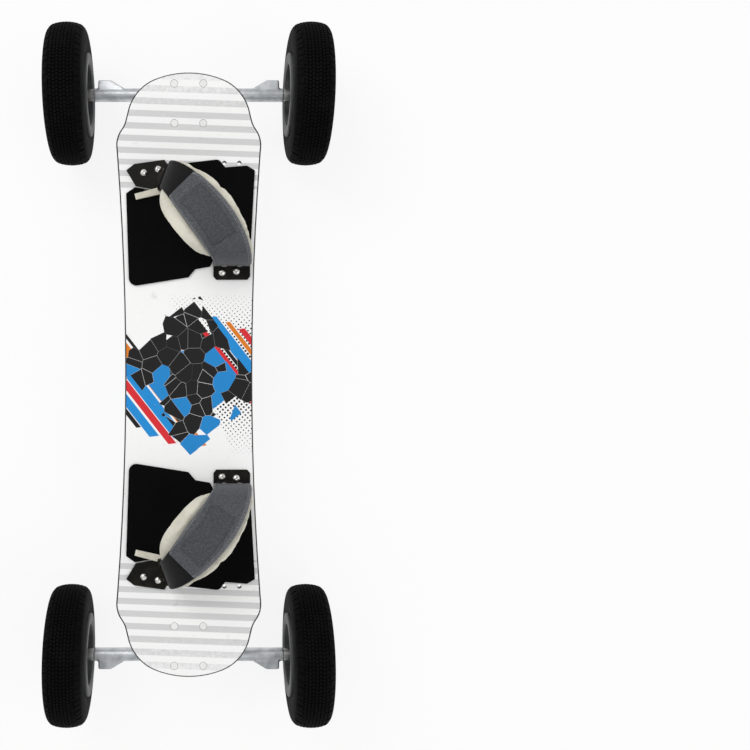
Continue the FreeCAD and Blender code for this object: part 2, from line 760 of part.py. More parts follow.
def build_hanger():
    """Ring, nose, pillar, V web, axle housing and lugs as one casting."""
    axle = V(0, axle_out, -axle_drop)
    half = hanger_width / 2
    housing = rod(housing_radius, axle - V(half, 0, 0), axle + V(half, 0, 0))
    ring = rod(ring_radius, V(0, 0, -ring_thickness / 2), V(0, 0, ring_thickness / 2))
    rise = ring_thickness / 2
    pillar = prism(closed_wire(side, (washer_radius - 2, rise), ((axle_out, rise + 2),),
                               ((axle_out + 9, -rise),), ((axle_out + housing_radius, -axle_drop),),
                               ((axle_out - 6, -axle_drop),), ((washer_radius + 2, -rise),)),
                   V(2 * pillar_half_width, 0, 0))
    pillar.translate(V(-pillar_half_width, 0, 0))
    lugs = []
    for sign in (-1, 1):
        lug = build_lug(sign)
        lug.rotate(V(0, 0, 0), V(1, 0, 0), -tip_angle - kingpin_angle)
        lug.translate(axle)
        lugs.append(lug)
    body = housing.fuse([ring, build_nose(), pillar, build_web()] + lugs)
    swing = prism(closed_wire(flat, (-ring_radius, -60), ((ring_radius, -60),),
                              ((ring_radius, washer_radius + 1.6),), ((-ring_radius, washer_radius + 1.6),)),
                  V(0, 0, -60))
    swing.translate(V(0, 0, -ring_thickness / 2))
    above = rod(ring_radius + 3, V(0, 0, ring_thickness / 2), V(0, 0, 60)).common(
        Part.makeBox(100, 100, 100, V(-50, -100 + washer_radius, 0)))
    cuts = [swing.cut(housing), above,
            rod(ring_hole_radius, V(0, 0, -20), V(0, 0, 20)),
            rod(bushing_radius + 0.6, V(0, 0, rise - bushing_seat_depth), V(0, 0, rise + 20)),
            rod(bushing_radius + 0.6, V(0, 0, -rise - 20), V(0, 0, -rise + bushing_seat_depth)),
            rod(axle_radius, axle - V(200, 0, 0), axle + V(200, 0, 0))]
    return body.cut(cuts).removeSplitter()


# Foot pads, brackets and straps of the front binding

def pad_outline():
    """The pad's outline: sides that follow the deck, slanted ends and room for the brackets."""
    x0, x1, _, y1 = near_bracket
    fold_top, fold_low = far_fold
    heel, knee = far_plate[4], far_plate[3]
    gap = recess_gap
    side_top = shoulder_width / 2 - pad_side_inset - 1
    side_low = waist_width / 2 + 5 - pad_side_inset
    return closed_wire(flat, (-side_top + 5, heel[1] - 11), ((heel[0] - gap, heel[1] - 2 * gap),),
                       ((knee[0], knee[1] - 2 * gap),),
                       ((fold_low[0] + gap, fold_low[1] - 2 * gap),),
                       ((fold_top[0] + 2 * gap, fold_top[1]),), ((fold_top[0] + 2 * gap, fold_top[1] + 2),),
                       ((38.0, 310.0),), ((44.2, 309.0), (47.6, 305.5)), ((52.5, 299.0),), ((84.0, 301.5),),
                       ((side_top, 294.6),), ((side_low, y1 + 4),),
                       ((x1 + gap, y1 + gap),), ((x0 - gap, y1 + gap),),
                       ((x0 - gap - 4, 156),), ((9.4, 152.3),), ((-0.5, 140.6),), ((-73.4, 129.0),),
                       ((-79.5, 129.5), (-side_low + 2, 140.7)))


def build_foot_pad():
    """The front pad, flat on the deck."""
    pad = prism(pad_outline(), V(0, 0, pad_thickness))
    pad.translate(V(0, 0, deck_top))
    return pad


def folded_bracket(foot, fold_start, fold_end, bolts):
    """A steel angle: a foot on the deck and an upright flange along one line."""
    base = prism(closed_wire(flat, foot[0], *[(p,) for p in foot[1:]]), V(0, 0, sheet_thickness))
    run = V(fold_end[0] - fold_start[0], fold_end[1] - fold_start[1], 0)
    length = run.Length
    corner = flange_height / 3
    cut = corner * (1 - math.sqrt(0.5))
    wire = closed_wire(lambda a, b: V(a, 0, b), (0, 0), ((length, 0),), ((length, flange_height - corner),),
                       ((length - cut, flange_height - cut), (length - corner, flange_height)),
                       ((corner, flange_height),), ((cut, flange_height - cut), (0, flange_height - corner)))
    flange = prism(wire, V(0, -sheet_thickness, 0))
    flange.rotate(V(0, 0, 0), V(0, 0, 1), math.degrees(math.atan2(run.y, run.x)))
    flange.translate(V(fold_start[0], fold_start[1], 0))
    bracket = base.fuse(flange)
    bracket.translate(V(0, 0, deck_top))
    holes = [rod(binding_bolt_radius + hole_gap, V(x, y, deck_top - 1), V(x, y, deck_top + 20))
             for x, y in bolts]
    return bracket.cut(holes).removeSplitter()


def build_brackets():
    """The near and the far bracket of the front binding."""
    x0, x1, y0, y1 = near_bracket
    near = folded_bracket(((x0 + 4, y0), (x1 - 4, y0), (x1, y0 + 5), (x1, y1), (x0, y1), (x0, y0 + 5)),
                          (x0, y1), (x1, y1), near_bolts)
    start, end = far_fold
    foot = far_plate[:3] + (start, end) + far_plate[3:]
    return compound([near, folded_bracket(foot, start, end, far_bolts)])


def binding_insert(x, y):
    """A threaded sleeve pressed into the deck from below, flush with it."""
    sleeve = rod(insert_radius, V(x, y, deck_bottom), V(x, y, deck_bottom + insert_length))
    return sleeve.cut(rod(binding_bolt_radius, V(x, y, deck_bottom - 1), V(x, y, deck_top)))


def binding_bolt(x, y):
    """A domed bolt that stands on its bracket."""
    top = deck_top + sheet_thickness
    shank = rod(binding_bolt_radius, V(x, y, deck_bottom + 1), V(x, y, top))
    dome_radius = (bolt_head_radius ** 2 + bolt_head_height ** 2) / (2 * bolt_head_height)
    dome = Part.makeSphere(dome_radius, V(x, y, top + bolt_head_height - dome_radius))
    dome = dome.common(Part.makeBox(40, 40, 40, V(x - 20, y - 20, top)))
    socket = hexagon(4, bolt_head_height, V(x, y, top + 0.8), V(0, 0, 1))
    return shank.fuse(dome).cut(socket)


def far_normal():
    """The level direction from the far bracket's flange towards the foot."""
    start, end = far_fold
    run = V(start[0] - end[0], start[1] - end[1], 0).normalize()
    return V(run.y, -run.x, 0)


def arch_ends():
    """The inner face of the liner's two feet, in the middle of each bracket."""
    x0, x1, _, y1 = near_bracket
    start, end = far_fold
    near = V((x0 + x1) / 2, y1 + strap_gap + liner_thickness, 0)
    middle = V((start[0] + end[0]) / 2, (start[1] + end[1]) / 2, 0)
    return near, middle + far_normal() * (liner_thickness + strap_thickness + 2 * strap_gap)


def arch_share(angle):
    """How far across the foot an angle of the arch lies, from 0 to 1."""
    return (1 - math.cos(min(max(angle, 0.0), math.pi))) / 2


def arch_point(angle):
    """A point of the liner's inner line: 0 at the near leg's top and pi at the far leg's top."""
    near, far = arch_ends()
    inside = min(max(angle, 0.0), math.pi)
    share = arch_share(angle)
    drift = share ** 1.1
    leg = flange_height + 1 - sheet_thickness - strap_foot_gap
    sink = leg * max(-angle, angle - math.pi, 0.0)
    return V(near.x + (far.x - near.x) * drift, near.y + (far.y - near.y) * share,
             deck_top + flange_height + 1 + arch_height * math.sin(inside) ** 0.85 - sink)


def arch_frame(angle):
    """Point, width direction and outward direction of the arch at an angle."""
    step = 0.01
    run = (arch_point(angle + step) - arch_point(angle - step)).normalize()
    toward = far_normal()
    share = arch_share(angle)
    turn = math.atan2(toward.x, -toward.y) * share
    wide = V(math.cos(turn), math.sin(turn), 0)
    wide = (wide - run * wide.dot(run)).normalize()
    return arch_point(angle), wide, wide.cross(run)


def band(stations, width, offset, thickness):
    """A strap along the arch: a loft through one flat section at each angle."""
    wires = []
    for angle in stations:
        point, wide, out = arch_frame(angle)
        half = wide * (width(angle) / 2)
        low = point + out * offset
        high = point + out * (offset + thickness)
        wires.append(Part.makePolygon([low - half, low + half, high + half, high - half, low - half]))
    return Part.makeLoft(wires, True, False)


def strap_profile(angle):
    """A strap's width: the near bracket's, then the far fold's, with a little more over the foot."""
    near = near_bracket[1] - near_bracket[0]
    far = math.dist(*far_fold)
    share = arch_share(angle)
    return near + (far - near) * share ** 2 + strap_bulge * math.sin(math.pi * share)


def liner_profile(angle):
    """The liner's width: as wide as the straps on its feet and wider over the foot."""
    return strap_profile(angle) + liner_bulge * math.sin(math.pi * arch_share(angle))


def rivet_axes(angle, offset, rise):
    """Where a leg's two rivets start, with the direction they point in."""
    point, wide, out = arch_frame(angle)
    centre = V(point.x, point.y, deck_top + rise) + out * offset
    return [(centre + wide * (sign * rivet_spacing / 2), out) for sign in (-1, 1)]


def rivets(axes, depth):
    """Domed rivets that reach a given depth through a strap's leg, with their heads on its outer side."""
    radius = (rivet_head_radius ** 2 + rivet_head_height ** 2) / (2 * rivet_head_height)
    pieces = []
    for start, out in axes:
        face = start + out * depth
        dome = Part.makeSphere(radius, face + out * (rivet_head_height - radius))
        dome = dome.common(rod(rivet_head_radius + 1, face, face + out * (rivet_head_height + 1)))
        pieces.append(rod(rivet_radius, start, face).fuse(dome))
    return compound(pieces)


def rivet_holes(axes, depth):
    """Rods along the rivets that stand out past both faces of what they cut."""
    return [rod(rivet_radius + rivet_gap, start - out, start + out * (depth + 1)) for start, out in axes]


def build_strap_pieces():
    """Liner, both straps and their rivets for the front binding."""
    lower_offset = liner_thickness + strap_gap
    upper_offset = lower_offset + strap_thickness + strap_gap
    turn = [math.pi * index / arch_steps for index in range(arch_steps + 1)]
    near_leg, far_leg = [-1, -0.5], [math.pi + 0.5, math.pi + 1]
    liner = band(near_leg + turn + far_leg, liner_profile, 0, liner_thickness)
    lower = band(turn[lower_strap_start:] + far_leg, strap_profile, lower_offset, strap_thickness)
    upper = band(near_leg + turn[:upper_strap_end + 1], strap_profile, upper_offset, strap_thickness)
    foot, wide, out = arch_frame(near_leg[0])
    hem = foot + out * (upper_offset + strap_thickness / 2)
    reach = wide * (strap_profile(near_leg[0]) / 2)
    upper = upper.fuse(rod(strap_thickness / 2, hem - reach, hem + reach)).removeSplitter()
    upper_axes = rivet_axes(near_leg[1], upper_offset, flange_height * rivet_rise)
    lower_axes = rivet_axes(far_leg[0], lower_offset, flange_height * rivet_rise)
    return {
        "strap_liner": liner,
        "lower_strap": lower.cut(rivet_holes(lower_axes, strap_thickness)),
        "upper_strap": upper.cut(rivet_holes(upper_axes, strap_thickness)),
        "upper_strap_rivets": rivets(upper_axes, strap_thickness),
    }, rivets(lower_axes, strap_thickness + strap_gap + sheet_thickness)


def build_main_nodes():
    """The deck with everything that is fixed to it, as node names and shapes."""
    pad = build_foot_pad()
    strap_pieces, lower_rivets = build_strap_pieces()
    brackets = build_brackets().cut(lower_rivets.Solids)
    bolts, nuts = truck_fasteners()
    nodes = {
        "deck": build_deck(),
        "front_foot_pad": pad,
        "rear_foot_pad": rear_mirror(pad),
        "front_binding_brackets": brackets,
        "rear_binding_brackets": rear_mirror(brackets),
        "binding_bolts": compound(binding_bolt(x, y) for x, y in binding_bolt_places()),
        "binding_inserts": compound(binding_insert(x, y) for x, y in binding_bolt_places()),
        "lower_strap_rivets": compound([lower_rivets, rear_mirror(lower_rivets)]),
        "riser_pads": both_ends(in_truck(build_riser())),
        "pivot_cups": both_ends(in_truck(build_pivot_cup())),
        "truck_bolts": both_ends(in_truck(bolts)),
        "truck_nuts": both_ends(in_truck(nuts)),
    }
    for name, shape in strap_pieces.items():
        nodes["front_" + name] = shape
        nodes["rear_" + name] = rear_mirror(shape)
    baseplate = in_truck(build_baseplate())
    nodes["front_baseplate"] = baseplate
    nodes["rear_baseplate"] = turned(baseplate)
    stack = {name: in_truck(shape) for name, shape in kingpin_stack().items()}
    bushings = stack.pop("bushings")
    nodes["front_bushings"] = bushings
    nodes["rear_bushings"] = turned(bushings)
    for name, shape in stack.items():
        nodes[name] = both_ends(shape)
    return nodes


def build_hanger_nodes():
    """Each truck's hanger with its axle, nuts and spacers."""
    pieces = {"hanger": in_hanger(build_hanger())}
    pieces.update(axle_pieces())
    nodes = {}
    for name, shape in pieces.items():
        nodes["front_" + name] = shape
        nodes["rear_" + name] = turned(shape)
    return nodes


def build_wheel_nodes():
    """The four wheels, six nodes to a wheel."""
    nodes = {}
    for name, shape in wheel_parts().items():
        for end, sy in (("front", 1), ("rear", -1)):
            for hand, sx in (("left", -1), ("right", 1)):
                nodes[f"{end}_{hand}_{name}"] = place_wheel(shape, sx, sy)
    return nodes


def main():
    """Build every node, write it and print its volume."""
    os.makedirs("parts", exist_ok=True)
    nodes = build_main_nodes()
    nodes.update(build_hanger_nodes())
    nodes.update(build_wheel_nodes())
    for name, shape in nodes.items():
        shape.exportStep(os.path.join("parts", name + ".step"))
        print(f"{name}: {len(shape.Solids)} solids, {shape.Volume / 1000:.1f} cm3")
    print(len(nodes), "nodes")


if __name__ == "__main__":
    main()
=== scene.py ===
"""A mountainboard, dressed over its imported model: printed deck, pads, bindings, cast trucks and knobbed tyres."""
import logging
import math
from dataclasses import dataclass, field
from enum import Enum

import bmesh
import bpy
import numpy as np
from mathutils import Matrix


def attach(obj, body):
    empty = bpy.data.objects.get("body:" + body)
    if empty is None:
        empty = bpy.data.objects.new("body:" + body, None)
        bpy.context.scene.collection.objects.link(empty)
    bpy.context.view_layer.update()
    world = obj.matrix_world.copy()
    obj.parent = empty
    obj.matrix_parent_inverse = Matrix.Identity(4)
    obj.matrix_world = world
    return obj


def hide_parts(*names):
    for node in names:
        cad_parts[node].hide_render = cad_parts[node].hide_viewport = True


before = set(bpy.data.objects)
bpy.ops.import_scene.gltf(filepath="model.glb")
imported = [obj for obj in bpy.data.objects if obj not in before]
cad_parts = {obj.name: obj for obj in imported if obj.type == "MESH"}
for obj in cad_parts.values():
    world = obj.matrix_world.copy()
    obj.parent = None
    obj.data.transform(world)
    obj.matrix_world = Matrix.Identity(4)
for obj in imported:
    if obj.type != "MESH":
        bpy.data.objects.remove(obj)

log = logging.getLogger("mountainboard")
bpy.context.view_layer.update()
Array = np.ndarray
Socket = bpy.types.NodeSocket
Colour = tuple[float, float, float, float]


def tint(red: float, green: float, blue: float) -> Colour:
    """An opaque colour from its linear shares."""
    return (red, green, blue, 1.0)


class End(Enum):
    """The two ends of the board, with the sign of their Y."""

    FRONT = 1
    REAR = -1

    @property
    def word(self) -> str:
        """The end's name in node names."""
        return self.name.lower()


class Hand(Enum):
    """The two sides of the board, with the sign of their X."""

    LEFT = -1
    RIGHT = 1

    @property
    def word(self) -> str:
        """The side's name in node names."""
        return self.name.lower()


# Meshes

def grid_faces(rows: int, columns: int, wrap_rows: bool = False, wrap_columns: bool = False) -> Array:
    """Quads between neighbours of a grid whose point (i, j) has the number i * columns + j.

    Args:
        rows: Points along the first parameter.
        columns: Points along the second parameter.
        wrap_rows: Whether the last row joins the first.
        wrap_columns: Whether the last column joins the first.

    Returns:
        An array of four point numbers a face.
    """
    i, j = np.meshgrid(np.arange(rows if wrap_rows else rows - 1),
                       np.arange(columns if wrap_columns else columns - 1), indexing="ij")
    i, j = i.ravel(), j.ravel()
    up, right = (i + 1) % rows, (j + 1) % columns
    return np.stack([i * columns + j, i * columns + right, up * columns + right, up * columns + j], axis=1)


def close_ends(points: Array, faces: Array, uv: Array) -> tuple[Array, Array, Array]:
    """Closes both ends of a tube of rings with a fan to each ring's middle.

    Args:
        points: Rings of points, first axis along the tube.
        faces: The tube's quads.
        uv: Cloth places on the same grid.

    Returns:
        Points, faces and cloth places with the two fans; a fan's faces repeat their first point.
    """
    rings, count = points.shape[:2]
    ring = np.arange(count)
    following = (ring + 1) % count
    total = rings * count
    last = (rings - 1) * count
    first_fan = [following, ring, np.full(count, total), following]
    last_fan = [ring + last, following + last, np.full(count, total + 1), ring + last]
    fans = np.concatenate([np.stack(first_fan, axis=1), np.stack(last_fan, axis=1)])
    flat_points = np.concatenate([points.reshape(-1, 3), [points[0].mean(axis=0)], [points[-1].mean(axis=0)]])
    flat_uv = np.concatenate([uv.reshape(-1, 2), [uv[0].mean(axis=0)], [uv[-1].mean(axis=0)]])
    return flat_points, np.concatenate([faces, fans]), flat_uv


def repeat_faces(faces: Array, points: int, copies: int) -> Array:
    """The faces of one shape, repeated for copies that follow each other in the point list.

    Args:
        faces: Faces of the first copy.
        points: Points in one copy.
        copies: Number of copies.

    Returns:
        The faces of all copies.
    """
    shift = (np.arange(copies) * points)[:, None, None]
    return (faces[None] + shift).reshape(-1, faces.shape[1])


def unit(vectors: Array) -> Array:
    """Vectors along the last axis, each divided by its length."""
    return vectors / np.maximum(np.linalg.norm(vectors, axis=-1, keepdims=True), 1e-12)


def eased(share: Array) -> Array:
    """A share kept from 0 to 1, with a smooth start and end."""
    share = np.clip(share, 0, 1)
    return share * share * (3 - 2 * share)


def rounded_ring(count: int, side: float, top: float) -> tuple[Array, Array]:
    """A rounded band's section, as shares of its half width and half height.

    They are the cosine and the sine of a full turn, each raised to a power with its sign kept.

    Args:
        count: Points round the section.
        side: Power of the cosine: the smaller it is, the squarer the sides.
        top: Power of the sine: the smaller it is, the flatter the top.

    Returns:
        The shares across and up.
    """
    turn = np.linspace(0, 2 * np.pi, count, endpoint=False)
    c, s = np.cos(turn), np.sin(turn)
    return np.sign(c) * np.abs(c) ** side, np.sign(s) * np.abs(s) ** top


def make_mesh(name: str, points: Array, faces: Array, uv: Array | None = None,
              outward: bool = False) -> bpy.types.Object:
    """An object from points and quads, merged where points meet and shaded smooth.

    Args:
        name: The piece's name.
        points: Places in millimetres, with X, Y and Z on the last axis.
        faces: Point numbers, one row a face.
        uv: A place on the cloth for each point, in millimetres.
        outward: Whether to work out afresh which side is outside.

    Returns:
        The object, at the origin, linked to the scene.
    """
    mesh = bpy.data.meshes.new(name)
    mesh.from_pydata(points.reshape(-1, 3) / 1000.0, [], [list(dict.fromkeys(face)) for face in faces.tolist()])
    if uv is not None:
        layer = mesh.uv_layers.new(name="cloth")
        corners = np.zeros(len(mesh.loops), dtype=np.int64)
        mesh.loops.foreach_get("vertex_index", corners)
        layer.data.foreach_set("uv", (uv.reshape(-1, 2)[corners] / 1000.0).ravel())
    work = bmesh.new()
    work.from_mesh(mesh)
    bmesh.ops.remove_doubles(work, verts=work.verts, dist=2e-6)
    bmesh.ops.dissolve_degenerate(work, edges=work.edges, dist=1e-7)
    if outward:
        bmesh.ops.recalc_face_normals(work, faces=work.faces)
    work.to_mesh(mesh)
    work.free()
    mesh.polygons.foreach_set("use_smooth", [True] * len(mesh.polygons))
    made = bpy.data.objects.new(name, mesh)
    bpy.context.scene.collection.objects.link(made)
    return made


def dress(piece: bpy.types.Object, body: str, material: bpy.types.Material,
          stands_for: tuple[str, ...] = ()) -> bpy.types.Object:
    """Gives a piece its finish, its body and the nodes that it stands for.

    Args:
        piece: The piece.
        body: The body that it rides on.
        material: Its finish.
        stands_for: Nodes that it hides.

    Returns:
        The same piece.
    """
    piece.data.materials.clear()
    piece.data.materials.append(material)
    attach(piece, body)
    if stands_for:
        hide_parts(*stands_for)
    log.info("%s: %d faces, rides on %s", piece.name, len(piece.data.polygons), body)
    return piece


def merged_copy(node: str, name: str) -> bpy.types.Object:
    """A copy of a node's mesh with its loose triangles joined.

    Args:
        node: The node to copy.
        name: The copy's name.

    Returns:
        The copy, at the origin.
    """
    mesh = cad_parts[node].data.copy()
    mesh.name = name
    work = bmesh.new()
    work.from_mesh(mesh)
    bmesh.ops.remove_doubles(work, verts=work.verts, dist=4e-6)
    bmesh.ops.dissolve_degenerate(work, edges=work.edges, dist=1e-6)
    work.to_mesh(mesh)
    work.free()
    made = bpy.data.objects.new(name, mesh)
    bpy.context.scene.collection.objects.link(made)
    return made


def eased_copy(node: str, name: str, width: float, segments: int = 2, corner: float = 28.0) -> bpy.types.Object:
    """A copy of a rigid node with every sharp edge rounded.

    Args:
        node: The node to copy.
        name: The copy's name.
        width: Width of the rounding in millimetres.
        segments: Steps in the rounding.
        corner: Angle in degrees over which an edge counts as sharp.

    Returns:
        The copy, with its rounding as a live modifier.
    """
    made = merged_copy(node, name)
    made.data.polygons.foreach_set("use_smooth", [True] * len(made.data.polygons))
    made.data.set_sharp_from_angle(angle=math.radians(corner))
    bevel = made.modifiers.new("eased edges", "BEVEL")
    bevel.width = width / 1000.0
    bevel.segments = segments
    bevel.limit_method = "ANGLE"
    bevel.angle_limit = math.radians(corner)
    bevel.harden_normals = True
    bevel.use_clamp_overlap = True
    return made


def cast_copy(node: str, name: str, grain: float, rounds: int) -> bpy.types.Object:
    """A copy of a cast node with the soft edges and filled inner corners of a sand casting.

    Args:
        node: The node to copy.
        name: The copy's name.
        grain: Size in millimetres of the even grid that the copy is rebuilt on.
        rounds: How many times its corners are relaxed.

    Returns:
        The copy, rebuilt and smoothed.
    """
    made = merged_copy(node, name)
    remesh = made.modifiers.new("even grid", "REMESH")
    remesh.mode = "VOXEL"
    remesh.voxel_size = grain / 1000.0
    remesh.use_smooth_shade = True
    smooth = made.modifiers.new("soft corners", "SMOOTH")
    smooth.factor = 0.5
    smooth.iterations = rounds
    return settle(made)


def settle(piece: bpy.types.Object) -> bpy.types.Object:
    """Writes a piece's modifiers into its mesh and removes them."""
    bpy.context.view_layer.update()
    evaluated = piece.evaluated_get(bpy.context.evaluated_depsgraph_get())
    mesh = bpy.data.meshes.new_from_object(evaluated)
    piece.modifiers.clear()
    piece.data = mesh
    mesh.name = piece.name
    return piece


# Finishes

class Graph:
    """The node tree of one finish, with short calls for the nodes that it uses."""

    def __init__(self, name: str) -> None:
        """Starts a material with one principled shader.

        Args:
            name: The material's name.
        """
        self.material = bpy.data.materials.new(name)
        self.material.use_nodes = True
        self.tree = self.material.node_tree
        self.tree.nodes.clear()
        self.shader = self.tree.nodes.new("ShaderNodeBsdfPrincipled")
        output = self.tree.nodes.new("ShaderNodeOutputMaterial")
        self.tree.links.new(self.shader.outputs[0], output.inputs[0])

    def feed(self, socket: Socket, value: object) -> None:
        """Links a socket to another, or sets its value."""
        if isinstance(value, bpy.types.NodeSocket):
            self.tree.links.new(value, socket)
        else:
            socket.default_value = value

    def node(self, kind: str, inputs: dict[str | int, object] | None = None,
             **settings: object) -> bpy.types.Node:
        """Adds a node.

        Args:
            kind: The node's type without its prefix.
            inputs: Values or sockets by input name or number.
            **settings: Properties of the node.

        Returns:
            The node.
        """
        made = self.tree.nodes.new("ShaderNode" + kind)
        for key, value in settings.items():
            setattr(made, key, value)
        for key, value in (inputs or {}).items():
            self.feed(made.inputs[key], value)
        return made

    def set(self, **values: object) -> None:
        """Sets shader inputs, with an underscore for each space in their names."""
        for key, value in values.items():
            self.feed(self.shader.inputs[key.replace("_", " ")], value)

    def math(self, operation: str, first: object, second: object = 0.0, third: object = 0.0) -> Socket:
        """The result of one arithmetic step."""
        return self.node("Math", {0: first, 1: second, 2: third}, operation=operation).outputs[0]

    def times(self, first: object, second: object) -> Socket:
        """The product of two numbers."""
        return self.math("MULTIPLY", first, second)

    def plus(self, first: object, second: object) -> Socket:
        """The sum of two numbers."""
        return self.math("ADD", first, second)

    def minus(self, first: object, second: object) -> Socket:
        """The first number less the second."""
        return self.math("SUBTRACT", first, second)

    def size(self, value: object) -> Socket:
        """A number without its sign."""
        return self.math("ABSOLUTE", value)

    def sine(self, value: object) -> Socket:
        """The sine of an angle in radians."""
        return self.math("SINE", value)

    def cloth(self) -> tuple[Socket, Socket]:
        """The point's place across and along the cloth, in millimetres."""
        across, along, _ = [self.times(axis, 1000.0) for axis in self.axes(self.node("UVMap").outputs[0])]
        return across, along

    def mix(self, share: object, first: object, second: object, kind: str = "MIX") -> Socket:
        """A colour between two colours."""
        return self.node("Mix", {0: share, 6: first, 7: second}, data_type="RGBA", blend_type=kind).outputs[2]

    def rise(self, value: object, low: float, high: float) -> Socket:
        """A smooth step from 0 at low to 1 at high, or down where high is the smaller."""
        return self.node("MapRange", {"Value": value, "From Min": low, "From Max": high},
                         interpolation_type="SMOOTHSTEP").outputs[0]

    def place(self) -> Socket:
        """The point's place on the object, in metres."""
        return self.node("TexCoord").outputs["Object"]

    def axes(self, vector: object) -> list[Socket]:
        """The three parts of a vector."""
        return list(self.node("SeparateXYZ", {0: vector}).outputs)

    def joined(self, x: object, y: object, z: object = 0.0) -> Socket:
        """A vector from three parts."""
        return self.node("CombineXYZ", {0: x, 1: y, 2: z}).outputs[0]

    def noise(self, vector: object, scale: float, detail: float = 2.0, rough: float = 0.5) -> Socket:
        """Cloudy noise from 0 to 1."""
        return self.node("TexNoise", {"Vector": vector, "Scale": scale, "Detail": detail,
                                      "Roughness": rough}).outputs[0]

    def cells(self, vector: object, scale: float, feature: str = "F1", part: str = "Distance") -> Socket:
        """Distance, colour or place of scattered cells."""
        return self.node("TexVoronoi", {"Vector": vector, "Scale": scale}, feature=feature).outputs[part]

    def between(self, share: object, low: float, high: float) -> Socket:
        """A number from low to high as the share goes from 0 to 1."""
        return self.node("MapRange", {"Value": share, "To Min": low, "To Max": high}).outputs[0]

    def relief(self, height: object, depth: float, strength: float = 1.0,
               under: Socket | None = None) -> Socket:
        """A bumped normal.

        Args:
            height: Height from 0 to 1.
            depth: What a height of 1 stands for, in millimetres.
            strength: Share of the effect.
            under: A normal to add to.

        Returns:
            The normal.
        """
        inputs = {"Height": height, "Distance": depth / 1000.0, "Strength": strength}
        if under is not None:
            inputs["Normal"] = under
        return self.node("Bump", inputs).outputs[0]


class Face(Enum):
    """Which printed face of the deck a finish is for."""

    TOP = "top"
    UNDER = "under"


@dataclass(frozen=True)
class Bar:
    """A straight printed bar: where its middle line lies, how wide and long it is, and its colour."""

    centre: float
    half_width: float
    start: float
    stop: float
    colour: Colour


